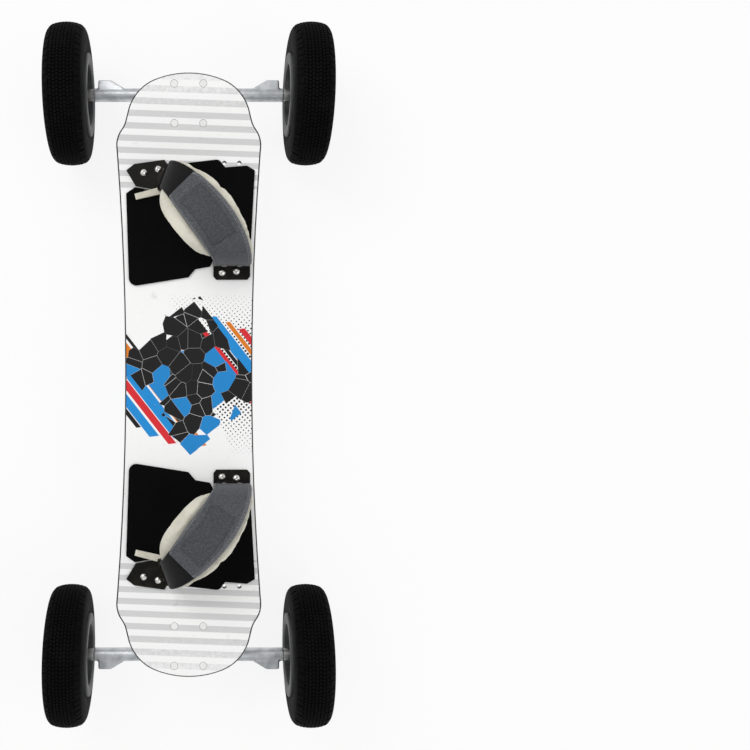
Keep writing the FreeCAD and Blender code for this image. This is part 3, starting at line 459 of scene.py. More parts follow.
@dataclass(frozen=True)
class DeckPrint:
    """Lacquered print: white ground, grey bands at the ends, bars, dots and a dark faceted mass."""

    face: Face
    ground: Colour = tint(0.94, 0.94, 0.935)
    band: Colour = tint(0.66, 0.66, 0.665)
    dark: Colour = tint(0.004, 0.004, 0.0045)
    red: Colour = tint(0.68, 0.022, 0.03)
    blue: Colour = tint(0.01, 0.26, 0.66)
    orange: Colour = tint(0.72, 0.20, 0.012)
    scuffed: Colour = tint(0.80, 0.79, 0.77)
    lean: float = 38.0
    band_pitch: float = 16.7
    band_slope: float = 0.035
    band_from: float = 266.0
    worn_from: float = 425.0
    worn_to: float = 505.0
    fleck_reach: float = 110.0
    dot_pitch: float = 5.2
    bar_slant: float = 0.6
    cell_scale: float = 0.045
    seam: float = 0.008
    chips_over: float = 0.84

    def bars(self) -> tuple[Bar, ...]:
        """The coloured bars of this face."""
        if self.face is Face.TOP:
            return (Bar(-104, 3.0, -78, 50, self.dark), Bar(-94, 6.0, -96, 62, self.blue),
                    Bar(-80, 5.0, -112, 78, self.red), Bar(-66, 8.0, -104, 96, self.blue),
                    Bar(-49, 6.5, -122, 70, self.orange), Bar(-37, 2.2, -90, 104, self.dark),
                    Bar(52, 7.0, -70, 108, self.red), Bar(65, 2.6, -96, 70, self.dark),
                    Bar(76, 7.5, -78, 92, self.blue), Bar(91, 3.0, -56, 80, self.orange),
                    Bar(101, 4.0, -40, 66, self.red))
        return (Bar(-150, 9, -90, 110, self.red), Bar(-128, 4, -120, 60, self.dark),
                Bar(-104, 11, -70, 150, self.blue), Bar(-78, 3.5, -140, 90, self.orange),
                Bar(70, 10, -130, 100, self.red), Bar(94, 5, -60, 140, self.dark),
                Bar(118, 12, -120, 80, self.blue), Bar(143, 4, -90, 120, self.orange),
                Bar(168, 7, -60, 90, self.red))

    def reach(self) -> tuple[float, float, float]:
        """Half length of the busy part, half length of the dark mass and how ragged it is."""
        return (118.0, 68.0, 0.5) if self.face is Face.TOP else (230.0, 120.0, 0.7)

    def bands(self, g: Graph, place: Socket, x: Socket, y: Socket) -> Socket:
        """How much of the grey bands shows: a wave along the board, worn away in flecks towards the tip."""
        far = g.size(y)
        wave = g.sine(g.times(g.plus(y, g.times(x, self.band_slope)), 2 * math.pi / self.band_pitch))
        fleck = g.noise(place, 190, 5, 0.7)
        worn = g.rise(g.plus(g.times(fleck, self.fleck_reach), far), self.worn_from, self.worn_to)
        shown = g.times(g.rise(wave, -0.12, 0.12), g.minus(1.0, worn))
        return g.times(shown, g.rise(far, self.band_from, self.band_from + 4))

    def dots(self, g: Graph, x: Socket, y: Socket, across: Socket, along: Socket) -> Socket:
        """Where a dot lies: a square screen on the right, whose dots shrink away from the middle."""
        far, (busy, _, _) = g.size(y), self.reach()
        grid = g.joined(*[g.math("DIVIDE", axis, self.dot_pitch) for axis in (across, along)])
        cell = g.node("VectorMath", {0: grid}, operation="FRACTION").outputs[0]
        away = g.node("VectorMath", {0: cell, 1: (0.5, 0.5, 0.0)}, operation="DISTANCE").outputs["Value"]
        dots = g.math("LESS_THAN", away, g.between(g.math("DIVIDE", far, busy), 0.44, 0.06))
        right = g.rise(g.plus(x, g.times(y, 0.4)), 16, 20)
        return g.times(g.times(dots, right), g.rise(far, busy, busy - 6))

    def on_bar(self, g: Graph, bar: Bar, across: Socket, along: Socket) -> Socket:
        """Where a bar lies: within its half width, and between two ends that slant."""
        inside = g.rise(g.size(g.minus(across, bar.centre)), bar.half_width + 0.25, bar.half_width - 0.25)
        middle, half = (bar.start + bar.stop) / 2, (bar.stop - bar.start) / 2
        slanted = g.plus(along, g.times(across, self.bar_slant))
        return g.times(inside, g.rise(g.size(g.minus(slanted, middle)), half + 0.3, half - 0.3))

    def with_mass(self, g: Graph, colour: Socket, flat: Socket, across: Socket, along: Socket) -> Socket:
        """A colour under the dark mass: whole cells of a ragged box, with pale seams and a few blue chips."""
        _, mass, ragged = self.reach()
        chance, seam_share, chip_chance = g.axes(g.cells(flat, self.cell_scale, "F1", "Color"))
        span = g.math("MAXIMUM", g.math("DIVIDE", g.size(across), mass),
                      g.math("DIVIDE", g.size(along), mass * 1.1))
        dark = g.math("LESS_THAN", g.plus(span, g.times(g.minus(chance, 0.5), ragged)), 1.0)
        colour = g.mix(dark, colour, self.dark)
        seam = g.rise(g.cells(flat, self.cell_scale, "DISTANCE_TO_EDGE"), self.seam * 1.5, self.seam)
        colour = g.mix(g.times(g.times(g.times(dark, seam), seam_share), 0.8), colour, self.ground)
        chips = g.times(dark, g.math("GREATER_THAN", chip_chance, self.chips_over))
        return g.mix(g.times(chips, 0.9), colour, self.blue)

    def material(self) -> bpy.types.Material:
        """The finish as a material."""
        g = Graph("deck print " + self.face.value)
        place = g.place()
        x, y, _ = [g.times(axis, 1000.0) for axis in g.axes(place)]
        c, s = math.cos(math.radians(self.lean)), math.sin(math.radians(self.lean))
        across = g.plus(g.times(x, c), g.times(y, s))
        along = g.minus(g.times(y, c), g.times(x, s))
        colour = g.mix(self.bands(g, place, x, y), self.ground, self.band)
        colour = g.mix(self.dots(g, x, y, across, along), colour, self.dark)
        for bar in self.bars():
            colour = g.mix(self.on_bar(g, bar, across, along), colour, bar.colour)
        colour = self.with_mass(g, colour, g.joined(x, y), across, along)
        scuff = g.rise(g.noise(place, 26, 6, 0.65), 0.62, 0.74)
        g.set(Base_Color=g.mix(scuff, colour, self.scuffed, "MULTIPLY"),
              Roughness=g.between(g.noise(place, 60, 4), 0.22, 0.36),
              Normal=g.relief(g.noise(place, 420, 2), 0.02), Specular_IOR_Level=0.3,
              Coat_Weight=0.12, Coat_Roughness=0.12)
        return g.material


@dataclass(frozen=True)
class DeckEdge:
    """The board's sealed dark edge, with its plies just showing."""

    seal: Colour = tint(0.016, 0.016, 0.017)
    ply: Colour = tint(0.05, 0.043, 0.035)
    ply_pitch: float = 0.0015

    def material(self) -> bpy.types.Material:
        """The finish as a material."""
        g = Graph("deck edge")
        place = g.place()
        z = g.axes(place)[2]
        plies = g.sine(g.times(z, 2 * math.pi / self.ply_pitch))
        mottle = g.noise(place, 90, 4)
        g.set(Base_Color=g.mix(g.times(g.rise(plies, 0.0, 0.7), mottle), self.seal, self.ply),
              Roughness=g.between(mottle, 0.4, 0.6), Normal=g.relief(plies, 0.03))
        return g.material


@dataclass(frozen=True)
class GripFoam:
    """Fine open-grained grip foam."""

    colour: Colour = tint(0.0015, 0.0015, 0.0016)
    worn: Colour = tint(0.0045, 0.0045, 0.0048)
    grain: float = 1500.0

    def material(self) -> bpy.types.Material:
        """The finish as a material."""
        g = Graph("grip foam")
        place = g.place()
        pits = g.cells(place, self.grain)
        cloud = g.noise(place, 30, 5, 0.6)
        height = g.plus(g.times(pits, 0.7), g.times(g.noise(place, 400, 3), 0.3))
        g.set(Base_Color=g.mix(g.times(cloud, g.rise(pits, 0.2, 0.7)), self.colour, self.worn),
              Roughness=0.95, Specular_IOR_Level=0.07, Normal=g.relief(height, 0.35, 0.9))
        return g.material


@dataclass(frozen=True)
class PowderCoat:
    """Baked black powder with a slight peel and warm, lighter cloudy patches of painted sheen."""

    colour: Colour = tint(0.004, 0.0036, 0.0026)
    painted_sheen: Colour = tint(0.016, 0.0135, 0.0085)

    def material(self) -> bpy.types.Material:
        """The finish as a material."""
        g = Graph("powder coat")
        place = g.place()
        cloud = g.noise(place, 55, 5, 0.65)
        peel = g.noise(place, 1300, 2)
        # Painted sheen: warm, lighter cloudy patches mixed into the black base colour.
        g.set(Base_Color=g.mix(g.rise(cloud, 0.45, 0.75), self.colour, self.painted_sheen),
              Roughness=g.between(cloud, 0.36, 0.52), Specular_IOR_Level=0.14,
              Normal=g.relief(peel, 0.05))
        return g.material


@dataclass(frozen=True)
class BareMetal:
    """A metal with fine scratches, tarnish and, where it is cast, a sandy skin."""

    name: str
    colour: Colour
    dull: Colour
    smooth: float
    rough: float
    sand: float = 0.0
    sand_scale: float = 900.0
    scratch: float = 0.01

    def material(self) -> bpy.types.Material:
        """The finish as a material."""
        g = Graph(self.name)
        place = g.place()
        cloud = g.noise(place, 45, 5, 0.6)
        hair = g.noise(g.node("Mapping", {0: place, "Scale": (90.0, 3200.0, 900.0)}).outputs[0], 1.0, 2)
        normal = g.relief(hair, self.scratch)
        rough = g.between(cloud, self.smooth, self.rough)
        if self.sand:
            skin = g.noise(place, self.sand_scale, 4, 0.62)
            normal = g.relief(skin, self.sand, 1.0, normal)
            pits = g.cells(place, self.sand_scale * 0.7)
            normal = g.relief(g.rise(pits, 0.0, 0.35), self.sand * 0.5, 0.8, normal)
        g.set(Base_Color=g.mix(g.rise(cloud, 0.35, 0.72), self.colour, self.dull), Metallic=1.0,
              Roughness=rough, Normal=normal)
        return g.material


@dataclass(frozen=True)
class Moulded:
    """A moulded plastic or rubber with a fine skin and a little handling dust."""

    name: str
    colour: Colour
    dusty: Colour
    smooth: float = 0.45
    rough: float = 0.65
    skin: float = 0.04
    scale: float = 1100.0
    dust: float = 0.6
    shine: float = 0.5

    def material(self) -> bpy.types.Material:
        """The finish as a material."""
        g = Graph(self.name)
        place = g.place()
        cloud = g.noise(place, 38, 6, 0.62)
        skin = g.noise(place, self.scale, 3)
        share = g.times(g.rise(cloud, 0.42, 0.78), self.dust)
        g.set(Base_Color=g.mix(share, self.colour, self.dusty),
              Roughness=g.between(cloud, self.smooth, self.rough),
              Specular_IOR_Level=self.shine, Normal=g.relief(skin, self.skin))
        return g.material


@dataclass(frozen=True)
class Webbing:
    """Woven strap: ribs across the strap crossed by a twill along it, in place on the cloth."""

    name: str
    colour: Colour
    light: Colour
    rib: float = 1.5
    depth: float = 0.22
    shine: float = 0.3

    def material(self) -> bpy.types.Material:
        """The finish as a material."""
        g = Graph(self.name)
        across, along = g.cloth()
        turn = 2 * math.pi / self.rib
        warp = g.sine(g.times(across, turn))
        weft = g.sine(g.plus(g.times(along, turn * 0.8), g.times(g.math("SIGN", warp), math.pi / 2)))
        height = g.between(g.times(g.size(warp), g.plus(weft, 1.4)), 0.0, 0.5)
        place = g.place()
        cloud = g.noise(place, 75, 5, 0.65)
        fuzz = g.noise(place, 2600, 2)
        worn = g.rise(g.noise(place, 420, 4, 0.7), 0.38, 0.66)
        share = g.times(g.rise(height, 0.1, 1.1), g.between(cloud, 0.1, 1.15))
        share = g.plus(g.times(share, 0.62), g.times(worn, 0.38))
        colour = g.mix(share, self.colour, self.light)
        normal = g.relief(fuzz, 0.06, 0.6, g.relief(height, self.depth, 0.8))
        g.set(Base_Color=colour, Roughness=0.82, Specular_IOR_Level=self.shine, Normal=normal,
              Sheen_Weight=0.12, Sheen_Roughness=0.5)
        return g.material


@dataclass(frozen=True)
class BrushedCloth:
    """Pale brushed cloth over foam, with a fine knit and darker grey-green cloudy patches of painted shade."""

    colour: Colour = tint(0.70, 0.67, 0.57)
    painted_shade: Colour = tint(0.48, 0.46, 0.37)
    wales: float = 5.2
    courses: float = 4.4

    def material(self) -> bpy.types.Material:
        """The finish as a material."""
        g = Graph("brushed cloth")
        across, along = g.cloth()
        knit = g.times(g.sine(g.times(across, self.wales)), g.sine(g.times(along, self.courses)))
        place = g.place()
        cloud = g.noise(place, 34, 5, 0.6)
        nap = g.noise(place, 1900, 3)
        height = g.plus(g.times(knit, 0.35), g.times(nap, 0.65))
        normal = g.relief(height, 0.16, 0.8, g.relief(g.noise(place, 70, 3), 1.2, 0.5))
        # Painted shade: darker grey-green cloudy patches mixed into the pale cloth colour.
        g.set(Base_Color=g.mix(g.rise(cloud, 0.45, 0.85), self.colour, self.painted_shade), Roughness=0.9,
              Specular_IOR_Level=0.2, Sheen_Weight=0.25, Sheen_Roughness=0.6, Normal=normal)
        return g.material


# Wheels

@dataclass
class Tyre:
    """A wide air tyre: casing turned about the axle, with rows of moulded blocks standing on it."""

    radius: float = 102.5
    half_width: float = 29.0
    tread_half: float = 17.0
    tread_edge: float = 100.3
    bead: float = 27.0
    bead_radius: float = 60.3
    wall_radius: float = 75.0
    wall_top: float = 91.1
    groove: float = 2.0
    foot: float = 0.4
    turns: int = 240
    rows: int = 7
    row_pitch: float = 4.9
    blocks: int = 120
    block_length: float = 4.1
    block_width: float = 3.9
    block_lean: float = 0.9
    notches: int = 30
    lug_place: float = 22.2
    lug_length: float = 7.3
    lug_widths: tuple[float, float] = (7.0, 8.0)
    lug_shift: float = 4.4
    chamfer: float = 0.55

    def casing_profile(self) -> tuple[Array, Array]:
        """The outer line of the half section, as distances along the axle and radii, from bead to bead.

        Sidewall and crown are arcs through three points each, sampled evenly and mirrored.
        """
        wall = arc_through((self.bead, self.bead_radius), (self.half_width, self.wall_radius),
                           (self.half_width - 2, self.wall_top), 22)
        shoulder = arc_through((self.half_width - 2, self.wall_top),
                               (self.tread_half + 5.5, self.tread_edge - 2.6),
                               (self.tread_half, self.tread_edge), 12)
        crown = arc_through((self.tread_half, self.tread_edge), (0, self.radius),
                            (-self.tread_half, self.tread_edge), 25)
        right = np.concatenate([wall[:-1], shoulder[:-1]])
        left = (right * np.array([-1.0, 1.0]))[::-1]
        line = np.concatenate([right, crown, left])
        return line[:, 0], line[:, 1]

    def sunk(self, radius: Array) -> Array:
        """Radii lowered to the groove floor under the blocks, on a smooth step above the sidewall."""
        return radius - self.groove * eased((radius - self.wall_top - 1.5) / 4.0)

    def surface(self, angle: Array, x: Array, radius: Array) -> Array:
        """A point at an angle about the axle: x along it, radius times sine and cosine across it."""
        return np.stack([x + 0 * angle, radius * np.sin(angle), radius * np.cos(angle)], axis=-1)

    def casing(self) -> tuple[Array, Array]:
        """Points and faces of the casing, closed inside by a ring behind the beads."""
        x, radius = self.casing_profile()
        radius = self.sunk(radius)
        hidden_x = np.array([-self.bead + 5, 0.0, self.bead - 5])
        hidden_r = np.full(3, self.bead_radius - 6)
        x, radius = np.concatenate([x, hidden_x]), np.concatenate([radius, hidden_r])
        angle = np.arange(self.turns) * 2 * np.pi / self.turns
        points = self.surface(angle[:, None], x[None], np.broadcast_to(radius, (self.turns, len(x))))
        return points.reshape(-1, 3), grid_faces(self.turns, len(x), True, True)

    def crown_radius(self, x: Array) -> Array:
        """Radius of the finished tread at a distance along the axle, read off the section's line."""
        line_x, line_r = self.casing_profile()
        keep = line_r > self.wall_top - 3
        order = np.argsort(line_x[keep])
        return np.interp(x, line_x[keep][order], line_r[keep][order])

    def blocks_on(self, centre_x: Array, centre_angle: Array, width: Array, length: Array,
                  skew: Array) -> tuple[Array, Array]:
        """Chamfered blocks on the crown.

        A block is three rings: its foot in the casing, its shoulder just under the top and its drawn-in top.

        Args:
            centre_x: Where each block lies along the axle.
            centre_angle: Its angle about the axle.
            width: Its size along the axle.
            length: Its size round the tyre.
            skew: How far its two halves lean round the tyre.

        Returns:
            Points and faces of all blocks.
        """
        corner = np.array([[-1, -1], [0, -1], [1, -1], [1, 1], [0, 1], [-1, 1]], dtype=float)
        inset = np.array([-0.35, 0.0, self.chamfer])
        level = np.array([-self.groove - self.foot, -self.chamfer, 0.0])
        across = corner[None, None, :, 0] * (width[:, None, None] / 2 - inset[None, :, None])
        round_ = corner[None, None, :, 1] * (length[:, None, None] / 2 - inset[None, :, None])
        x = centre_x[:, None, None] + across
        lean = skew[:, None, None] * (1 - np.abs(corner[None, None, :, 0]))
        radius = self.crown_radius(x) + level[None, :, None]
        angle = centre_angle[:, None, None] + (round_ + lean) / self.radius
        points = self.surface(angle, x, radius)
        ring = np.arange(6)
        side = np.stack([ring, (ring + 1) % 6, (ring + 1) % 6 + 6, ring + 6], axis=1)
        top = np.array([[12, 13, 16, 17], [13, 14, 15, 16]])
        faces = np.concatenate([side, side + 6, top])
        return points.reshape(-1, 3), repeat_faces(faces, 18, len(centre_x))

    def tread(self) -> tuple[Array, Array]:
        """All blocks: close rows of small ones in the middle and long lugs over both shoulders."""
        row = np.arange(self.rows) - (self.rows - 1) / 2
        row, step = np.meshgrid(row, np.arange(self.blocks), indexing="ij")
        row, step = row.ravel(), step.ravel()
        angle = (step + 0.5 * (row % 2)) * 2 * np.pi / self.blocks
        small = self.blocks_on(row * self.row_pitch, angle, np.full(row.size, self.block_width),
                               np.full(row.size, self.block_length),
                               np.where(row % 2 == 0, self.block_lean, -self.block_lean))
        side, step, half = np.meshgrid([-1.0, 1.0], np.arange(self.notches), [-1.0, 1.0], indexing="ij")
        side, step, half = side.ravel(), step.ravel(), half.ravel()
        angle = (step + 0.5 + 0.25 * side) * 2 * np.pi / self.notches + half * self.lug_shift / self.radius
        width = np.where(half > 0, self.lug_widths[1], self.lug_widths[0])
        lugs = self.blocks_on(side * self.lug_place, angle, width, np.full(step.size, self.lug_length),
                              np.zeros(step.size))
        points = np.concatenate([small[0], lugs[0]])
        return points, np.concatenate([small[1], lugs[1] + len(small[0])])

    def build(self, name: str, centre: Array) -> bpy.types.Object:
        """The whole tyre at its place on the board.

        Args:
            name: The piece's name.
            centre: The wheel's centre in millimetres.

        Returns:
            The tyre.
        """
        casing, casing_faces = self.casing()
        tread, tread_faces = self.tread()
        points = np.concatenate([casing, tread]) + centre
        faces = np.concatenate([casing_faces, tread_faces + len(casing)])
        made = make_mesh(name, points, faces, outward=True)
        made.data.set_sharp_from_angle(angle=math.radians(38))
        return made


def arc_through(start: tuple[float, float], middle: tuple[float, float], end: tuple[float, float],
                count: int) -> Array:
    """Evenly spaced points of the circle through three points.

    The centre is where the chords' middle lines cross, and the angle runs from start past middle to end.

    Args:
        start: First point.
        middle: A point between.
        end: Last point.
        count: Number of points.

    Returns:
        The points, one row each.
    """
    a, b, c = (np.array(p, dtype=float) for p in (start, middle, end))
    rows = np.stack([b - a, c - a]) * 2
    centre = np.linalg.solve(rows, np.array([b @ b - a @ a, c @ c - a @ a]))
    turn = np.arctan2(*(np.stack([a, b, c]) - centre).T[::-1])
    turn = np.unwrap(turn)
    return centre + np.linalg.norm(a - centre) * np.stack(
        [np.cos(np.linspace(turn[0], turn[2], count)), np.sin(np.linspace(turn[0], turn[2], count))], axis=1)


@dataclass
class Wheel:
    """One wheel: knobbed tyre, grey two-part hub, its bolts and its bearings."""

    end: End
    hand: Hand
    track: float = 356.0
    spread: float = 838.0
    axle_height: float = 102.5
    tyre: Tyre = field(default_factory=Tyre)

    @property
    def name(self) -> str:
        """The start of this wheel's node names."""
        return f"{self.end.word}_{self.hand.word}"

    def build(self, kit: "Finishes") -> None:
        """Makes and dresses the wheel's pieces."""
        body = self.name + "_wheel"
        centre = np.array([self.hand.value * self.track / 2, self.end.value * self.spread / 2,
                           self.axle_height])
        tyre = self.tyre.build(self.name + "_knobbed_tyre", centre)
        dress(tyre, body, kit.tyre, (self.name + "_tyre",))
        for half in ("inner", "outer"):
            node = f"{self.name}_hub_{half}"
            dress(eased_copy(node, node + "_moulding", 0.7), body, kit.hub, (node,))
        paint(self.name + "_inner_tube", kit.tube)
        paint(self.name + "_hub_bolts", kit.plated)
        paint(self.name + "_bearings", kit.ground_steel)


def paint(node: str, material: bpy.types.Material) -> None:
    """Gives a node that stays its finish."""
    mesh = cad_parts[node].data
    mesh.materials.clear()
    mesh.materials.append(material)


# Bindings

@dataclass
class Arch:
    """The line that a binding follows over the foot, from the near bracket to the far one."""

    near: tuple[float, float, float, float] = (35.6, 88.5, 137.0, 163.0)
    far: tuple[tuple[float, float], tuple[float, float]] = ((-28.7, 300.5), (-42.0, 264.0))
    deck_top: float = 149.499
    flange: float = 24.0
    sheet: float = 3.0
    foot_gap: float = 2.0
    gap: float = 0.6
    liner: float = 9.0
    strap: float = 3.2
    height: float = 54.0
    strap_low: float = 8.5
    strap_high: float = 1.5
    low_swell: float = 19.0
    high_swell: float = 9.0

    def far_normal(self) -> Array:
        """The level direction from the far bracket's flange towards the foot."""
        start, end = (np.array(p) for p in self.far)
        run = (start - end) / np.linalg.norm(start - end)
        return np.array([run[1], -run[0], 0.0])

    def share(self, angle: Array) -> Array:
        """How far across the foot an angle lies, from 0 to 1."""
        return (1 - np.cos(np.clip(angle, 0, np.pi))) / 2

    def point(self, angle: Array) -> Array:
        """Points of the inner line.

        Across the foot the share goes as half of one less the cosine, and the height as a power of the sine;
        past either end the line runs straight down the bracket.

        Args:
            angle: 0 at the near leg's top, pi at the far leg's top.

        Returns:
            Points in millimetres.
        """
        share = self.share(angle)
        near = np.array([(self.near[0] + self.near[1]) / 2, self.near[3] + self.gap + self.liner, 0])
        middle = np.append((np.array(self.far[0]) + np.array(self.far[1])) / 2, 0)
        far = middle + self.far_normal() * (self.liner + self.strap + 2 * self.gap)
        leg = self.flange + 1 - self.sheet - self.foot_gap
        sink = leg * np.maximum(np.maximum(-angle, angle - np.pi), 0)
        x = near[0] + (far[0] - near[0]) * share ** 1.1
        y = near[1] + (far[1] - near[1]) * share
        z = self.deck_top + self.flange + 1 + self.height * np.sin(np.clip(angle, 0, np.pi)) ** 0.85 - sink
        return np.stack([x, y, z], axis=-1)

    def axes(self, angle: Array) -> tuple[Array, Array]:
        """Width and outward directions at each angle: the width turns evenly from bracket to bracket."""
        run = unit(self.point(angle + 0.01) - self.point(angle - 0.01))
        toward = self.far_normal()
        share = self.share(angle)
        turn = np.arctan2(toward[0], -toward[1]) * share
        wide = np.stack([np.cos(turn), np.sin(turn), 0 * turn], axis=-1)
        wide = unit(wide - run * np.sum(wide * run, axis=-1, keepdims=True))
        return wide, np.cross(wide, run)

    def length_at(self, angle: Array) -> Array:
        """Distance along the inner line from the first angle, in millimetres."""
        steps = np.linalg.norm(np.diff(self.point(angle), axis=0), axis=1)
        return np.concatenate([[0], np.cumsum(steps)])

    def strap_edges(self, angle: Array) -> tuple[Array, Array]:
        """How far a strap reaches to its low and its high side of the arch's line.

        Both are half the near bracket's width, then half the far fold's, and a sine over the foot, which is
        wider on the low side.

        Args:
            angle: 0 at the near leg's top, pi at the far leg's top.

        Returns:
            The two reaches in millimetres.
        """
        share = self.share(angle)
        near = self.near[1] - self.near[0]
        half = (near + (math.dist(*self.far) - near) * share ** 2) / 2
        swell = np.sin(np.pi * share)
        return half + self.strap_low * swell, half + self.strap_high * swell

    def liner_edges(self, angle: Array) -> tuple[Array, Array]:
        """How far the liner reaches to its low and its high side of the arch's line.

        Both are the strap's own reach and a swell that is nothing at the feet. On the low side the swell is a
        root of a sine that leans towards the far end; the high side has a narrow one.

        Args:
            angle: 0 at the near leg's top, pi at the far leg's top.

        Returns:
            The two reaches in millimetres.
        """
        share = self.share(angle)
        swell = np.sin(np.pi * share)
        low, high = self.strap_edges(angle)
        low = low + self.low_swell * swell ** 0.45 * (0.8 + 0.35 * share)
        return low, high + self.high_swell * swell ** 0.6

    def skin(self, angle: Array, across: Array, up: Array) -> Array:
        """A point over the arch: the inner line, plus across along the width, plus up on the outward side."""
        wide, out = self.axes(angle)
        return self.point(angle) + wide * across[..., None] + out * up[..., None]

    def sleeve(self, angle: Array, across: Array, up: Array) -> tuple[Array, Array, Array]:
        """A closed tube along the arch.

        Args:
            angle: The angle of each ring.
            across: Place along the width, one row a ring.
            up: Height over the inner line, one row a ring.

        Returns:
            Points, faces and cloth places.
        """
        points = self.skin(np.broadcast_to(angle[:, None], across.shape), across, up)
        along = np.broadcast_to(self.length_at(angle)[:, None], across.shape)
        faces = grid_faces(*across.shape, wrap_columns=True)
        return close_ends(points, faces, np.stack([across, along], axis=-1))


def at_end(points: Array, end: End) -> Array:
    """Points of the front binding as they are, or mirrored for the rear one."""
    return points * np.array([1.0, end.value, 1.0])


@dataclass
class Strap:
    """A flat woven strap along the arch, with bound edges."""

    arch: Arch
    start: float
    stop: float
    offset: float
    thickness: float = 3.2
    steps: int = 90
    around: int = 64
    binding: float = 4.2
    end_taper: float = 0.10

    def body(self) -> tuple[Array, Array, Array]:
        """Points, faces and cloth places: a flat band with round, thicker edges and a drawn-in end."""
        angle = np.linspace(self.start, self.stop, self.steps)
        wide, high = rounded_ring(self.around, 0.22, 0.42)
        low, high_side = self.arch.strap_edges(angle)
        taper = 1 - self.end_taper * np.clip((angle - self.stop + 0.10) / 0.10, 0, 1) ** 2
        half = np.where(wide[None] < 0, low[:, None], high_side[:, None])
        across = half * taper[:, None] * wide[None]
        edge = np.clip((np.abs(across) - half + self.binding) / 0.8, 0, 1)
        up = self.offset + self.thickness * (0.5 + (0.40 + 0.10 * edge) * high[None])
        return self.arch.sleeve(angle, across, up)


@dataclass
class Stitches:
    """Rows of thread on cloth: each stitch is a short bead that dips at both ends."""

    length: float = 2.5
    radius: float = 0.5
    around: int = 6
    along: int = 5

    def build(self, centres: Array, runs: Array, outs: Array) -> tuple[Array, Array]:
        """Points and faces of all stitches.

        A stitch is a tube whose radius follows half a sine along its run, so both ends close to a point.

        Args:
            centres: Middle of each stitch.
            runs: Its direction.
            outs: The cloth's outward direction there.

        Returns:
            Points and faces.
        """
        side = unit(np.cross(runs, outs))
        share = np.linspace(0, 1, self.along)
        turn = np.linspace(0, 2 * np.pi, self.around, endpoint=False)
        size = self.radius * np.sin(np.pi * np.clip(share, 0.03, 0.97)) ** 0.6
        forward = (share - 0.5)[None, :, None, None] * self.length * runs[:, None, None, :]
        round_ = (np.cos(turn)[None, None, :, None] * side[:, None, None, :]
                  + np.sin(turn)[None, None, :, None] * outs[:, None, None, :]) * size[None, :, None, None]
        points = centres[:, None, None, :] + forward + round_
        faces = grid_faces(self.along, self.around, wrap_columns=True)
        return points.reshape(-1, 3), repeat_faces(faces, self.along * self.around, len(centres))


@dataclass
class Liner:
    """The padded liner: a cover cut a little flat and filled by simulation, free only outside the straps."""

    arch: Arch = field(default_factory=Arch)
    rings: int = 120
    around: int = 44
    hump: float = 2.2
    lead: float = 0.5
    pressure: float = 4.0
    slack: float = 0.05
    frames: int = 20
    reach: float = 5.0
    grades: int = 20
    result: tuple[Array, Array, Array] | None = None

    def cut(self) -> tuple[Array, Array, Array, Array]:
        """The cover before it is filled.

        The section is a rounded band. Its outer side is pressed flat under the strap and rises in a smooth hump
        outside the strap's edge, and both sides fall to a seam at the rim.

        Returns:
            Points, faces, cloth places, and how firmly each point is held, from 0 to 1.
        """
        arch = self.arch
        angle = np.linspace(-1, math.pi + 1, self.rings)
        wide, high = rounded_ring(self.around, 0.5, 0.62)
        low_side, high_side = arch.liner_edges(angle)
        half = np.where(wide[None] < 0, low_side[:, None], high_side[:, None])
        across = half * wide[None]
        over = (np.clip(angle / self.lead, 0, 1) * np.clip((math.pi - angle) / self.lead, 0, 1))[:, None]
        strap_low, strap_high = arch.strap_edges(angle)
        covered = np.where(wide[None] < 0, strap_low[:, None], strap_high[:, None])
        free = eased((np.abs(across) - covered + 1.0) / 6.0) * over
        rim = 1 - np.clip((np.abs(across) / half - 0.75) / 0.25, 0, 1) ** 2
        top = arch.liner / 2 * high[None] + self.hump * np.maximum(high[None], 0) * free * rim
        return *arch.sleeve(angle, across, arch.liner / 2 + top), np.append(1 - free.ravel(), [1.0, 1.0])

    def filled(self) -> tuple[Array, Array, Array]:
        """Points, faces and cloth places of the filled cover, worked out once for both bindings."""
        if self.result is None:
            points, faces, uv, held = self.cut()
            self.result = (self.simulate(points, faces, held), faces, uv)
        return self.result

    def simulate(self, points: Array, faces: Array, held: Array) -> Array:
        """Fills the cover with Blender's cloth under pressure, with no gravity, and caps how far a point moves.

        Args:
            points: The cover's points in millimetres.
            faces: Its faces.
            held: How firmly each point is held.

        Returns:
            The points after the last frame.
        """
        mesh = bpy.data.meshes.new("liner_cover")
        mesh.from_pydata(points / 1000.0, [], [list(dict.fromkeys(face)) for face in faces.tolist()])
        cover = bpy.data.objects.new("liner_cover", mesh)
        scene = bpy.context.scene
        scene.collection.objects.link(cover)
        group = cover.vertex_groups.new(name="held")
        level = np.round(held * self.grades).astype(int)
        for step in range(1, self.grades + 1):
            group.add(np.flatnonzero(level == step).tolist(), step / self.grades, "REPLACE")
        cloth = cover.modifiers.new("filling", "CLOTH")
        cloth.point_cache.frame_end = self.frames
        cloth.collision_settings.use_collision = False
        cloth.collision_settings.use_self_collision = False
        rules = cloth.settings
        rules.vertex_group_mass = "held"
        rules.quality = 6
        rules.mass = 0.2
        rules.bending_stiffness = 0.6
        rules.shrink_min = -self.slack
        rules.use_pressure = True
        rules.uniform_pressure_force = self.pressure
        rules.effector_weights.gravity = 0.0
        for moment in range(1, self.frames + 1):
            scene.frame_set(moment)
        swollen = cover.evaluated_get(bpy.context.evaluated_depsgraph_get()).data
        after = np.zeros(len(mesh.vertices) * 3)
        swollen.vertices.foreach_get("co", after)
        move = after.reshape(-1, 3) * 1000.0 - points
        size = np.linalg.norm(move, axis=1, keepdims=True)
        log.info("liner filled: farthest point moved %.1f mm", float(size.max()))
        scene.frame_set(1)
        bpy.data.objects.remove(cover)
        return points + move * np.minimum(1.0, self.reach / np.maximum(size, 1e-9))


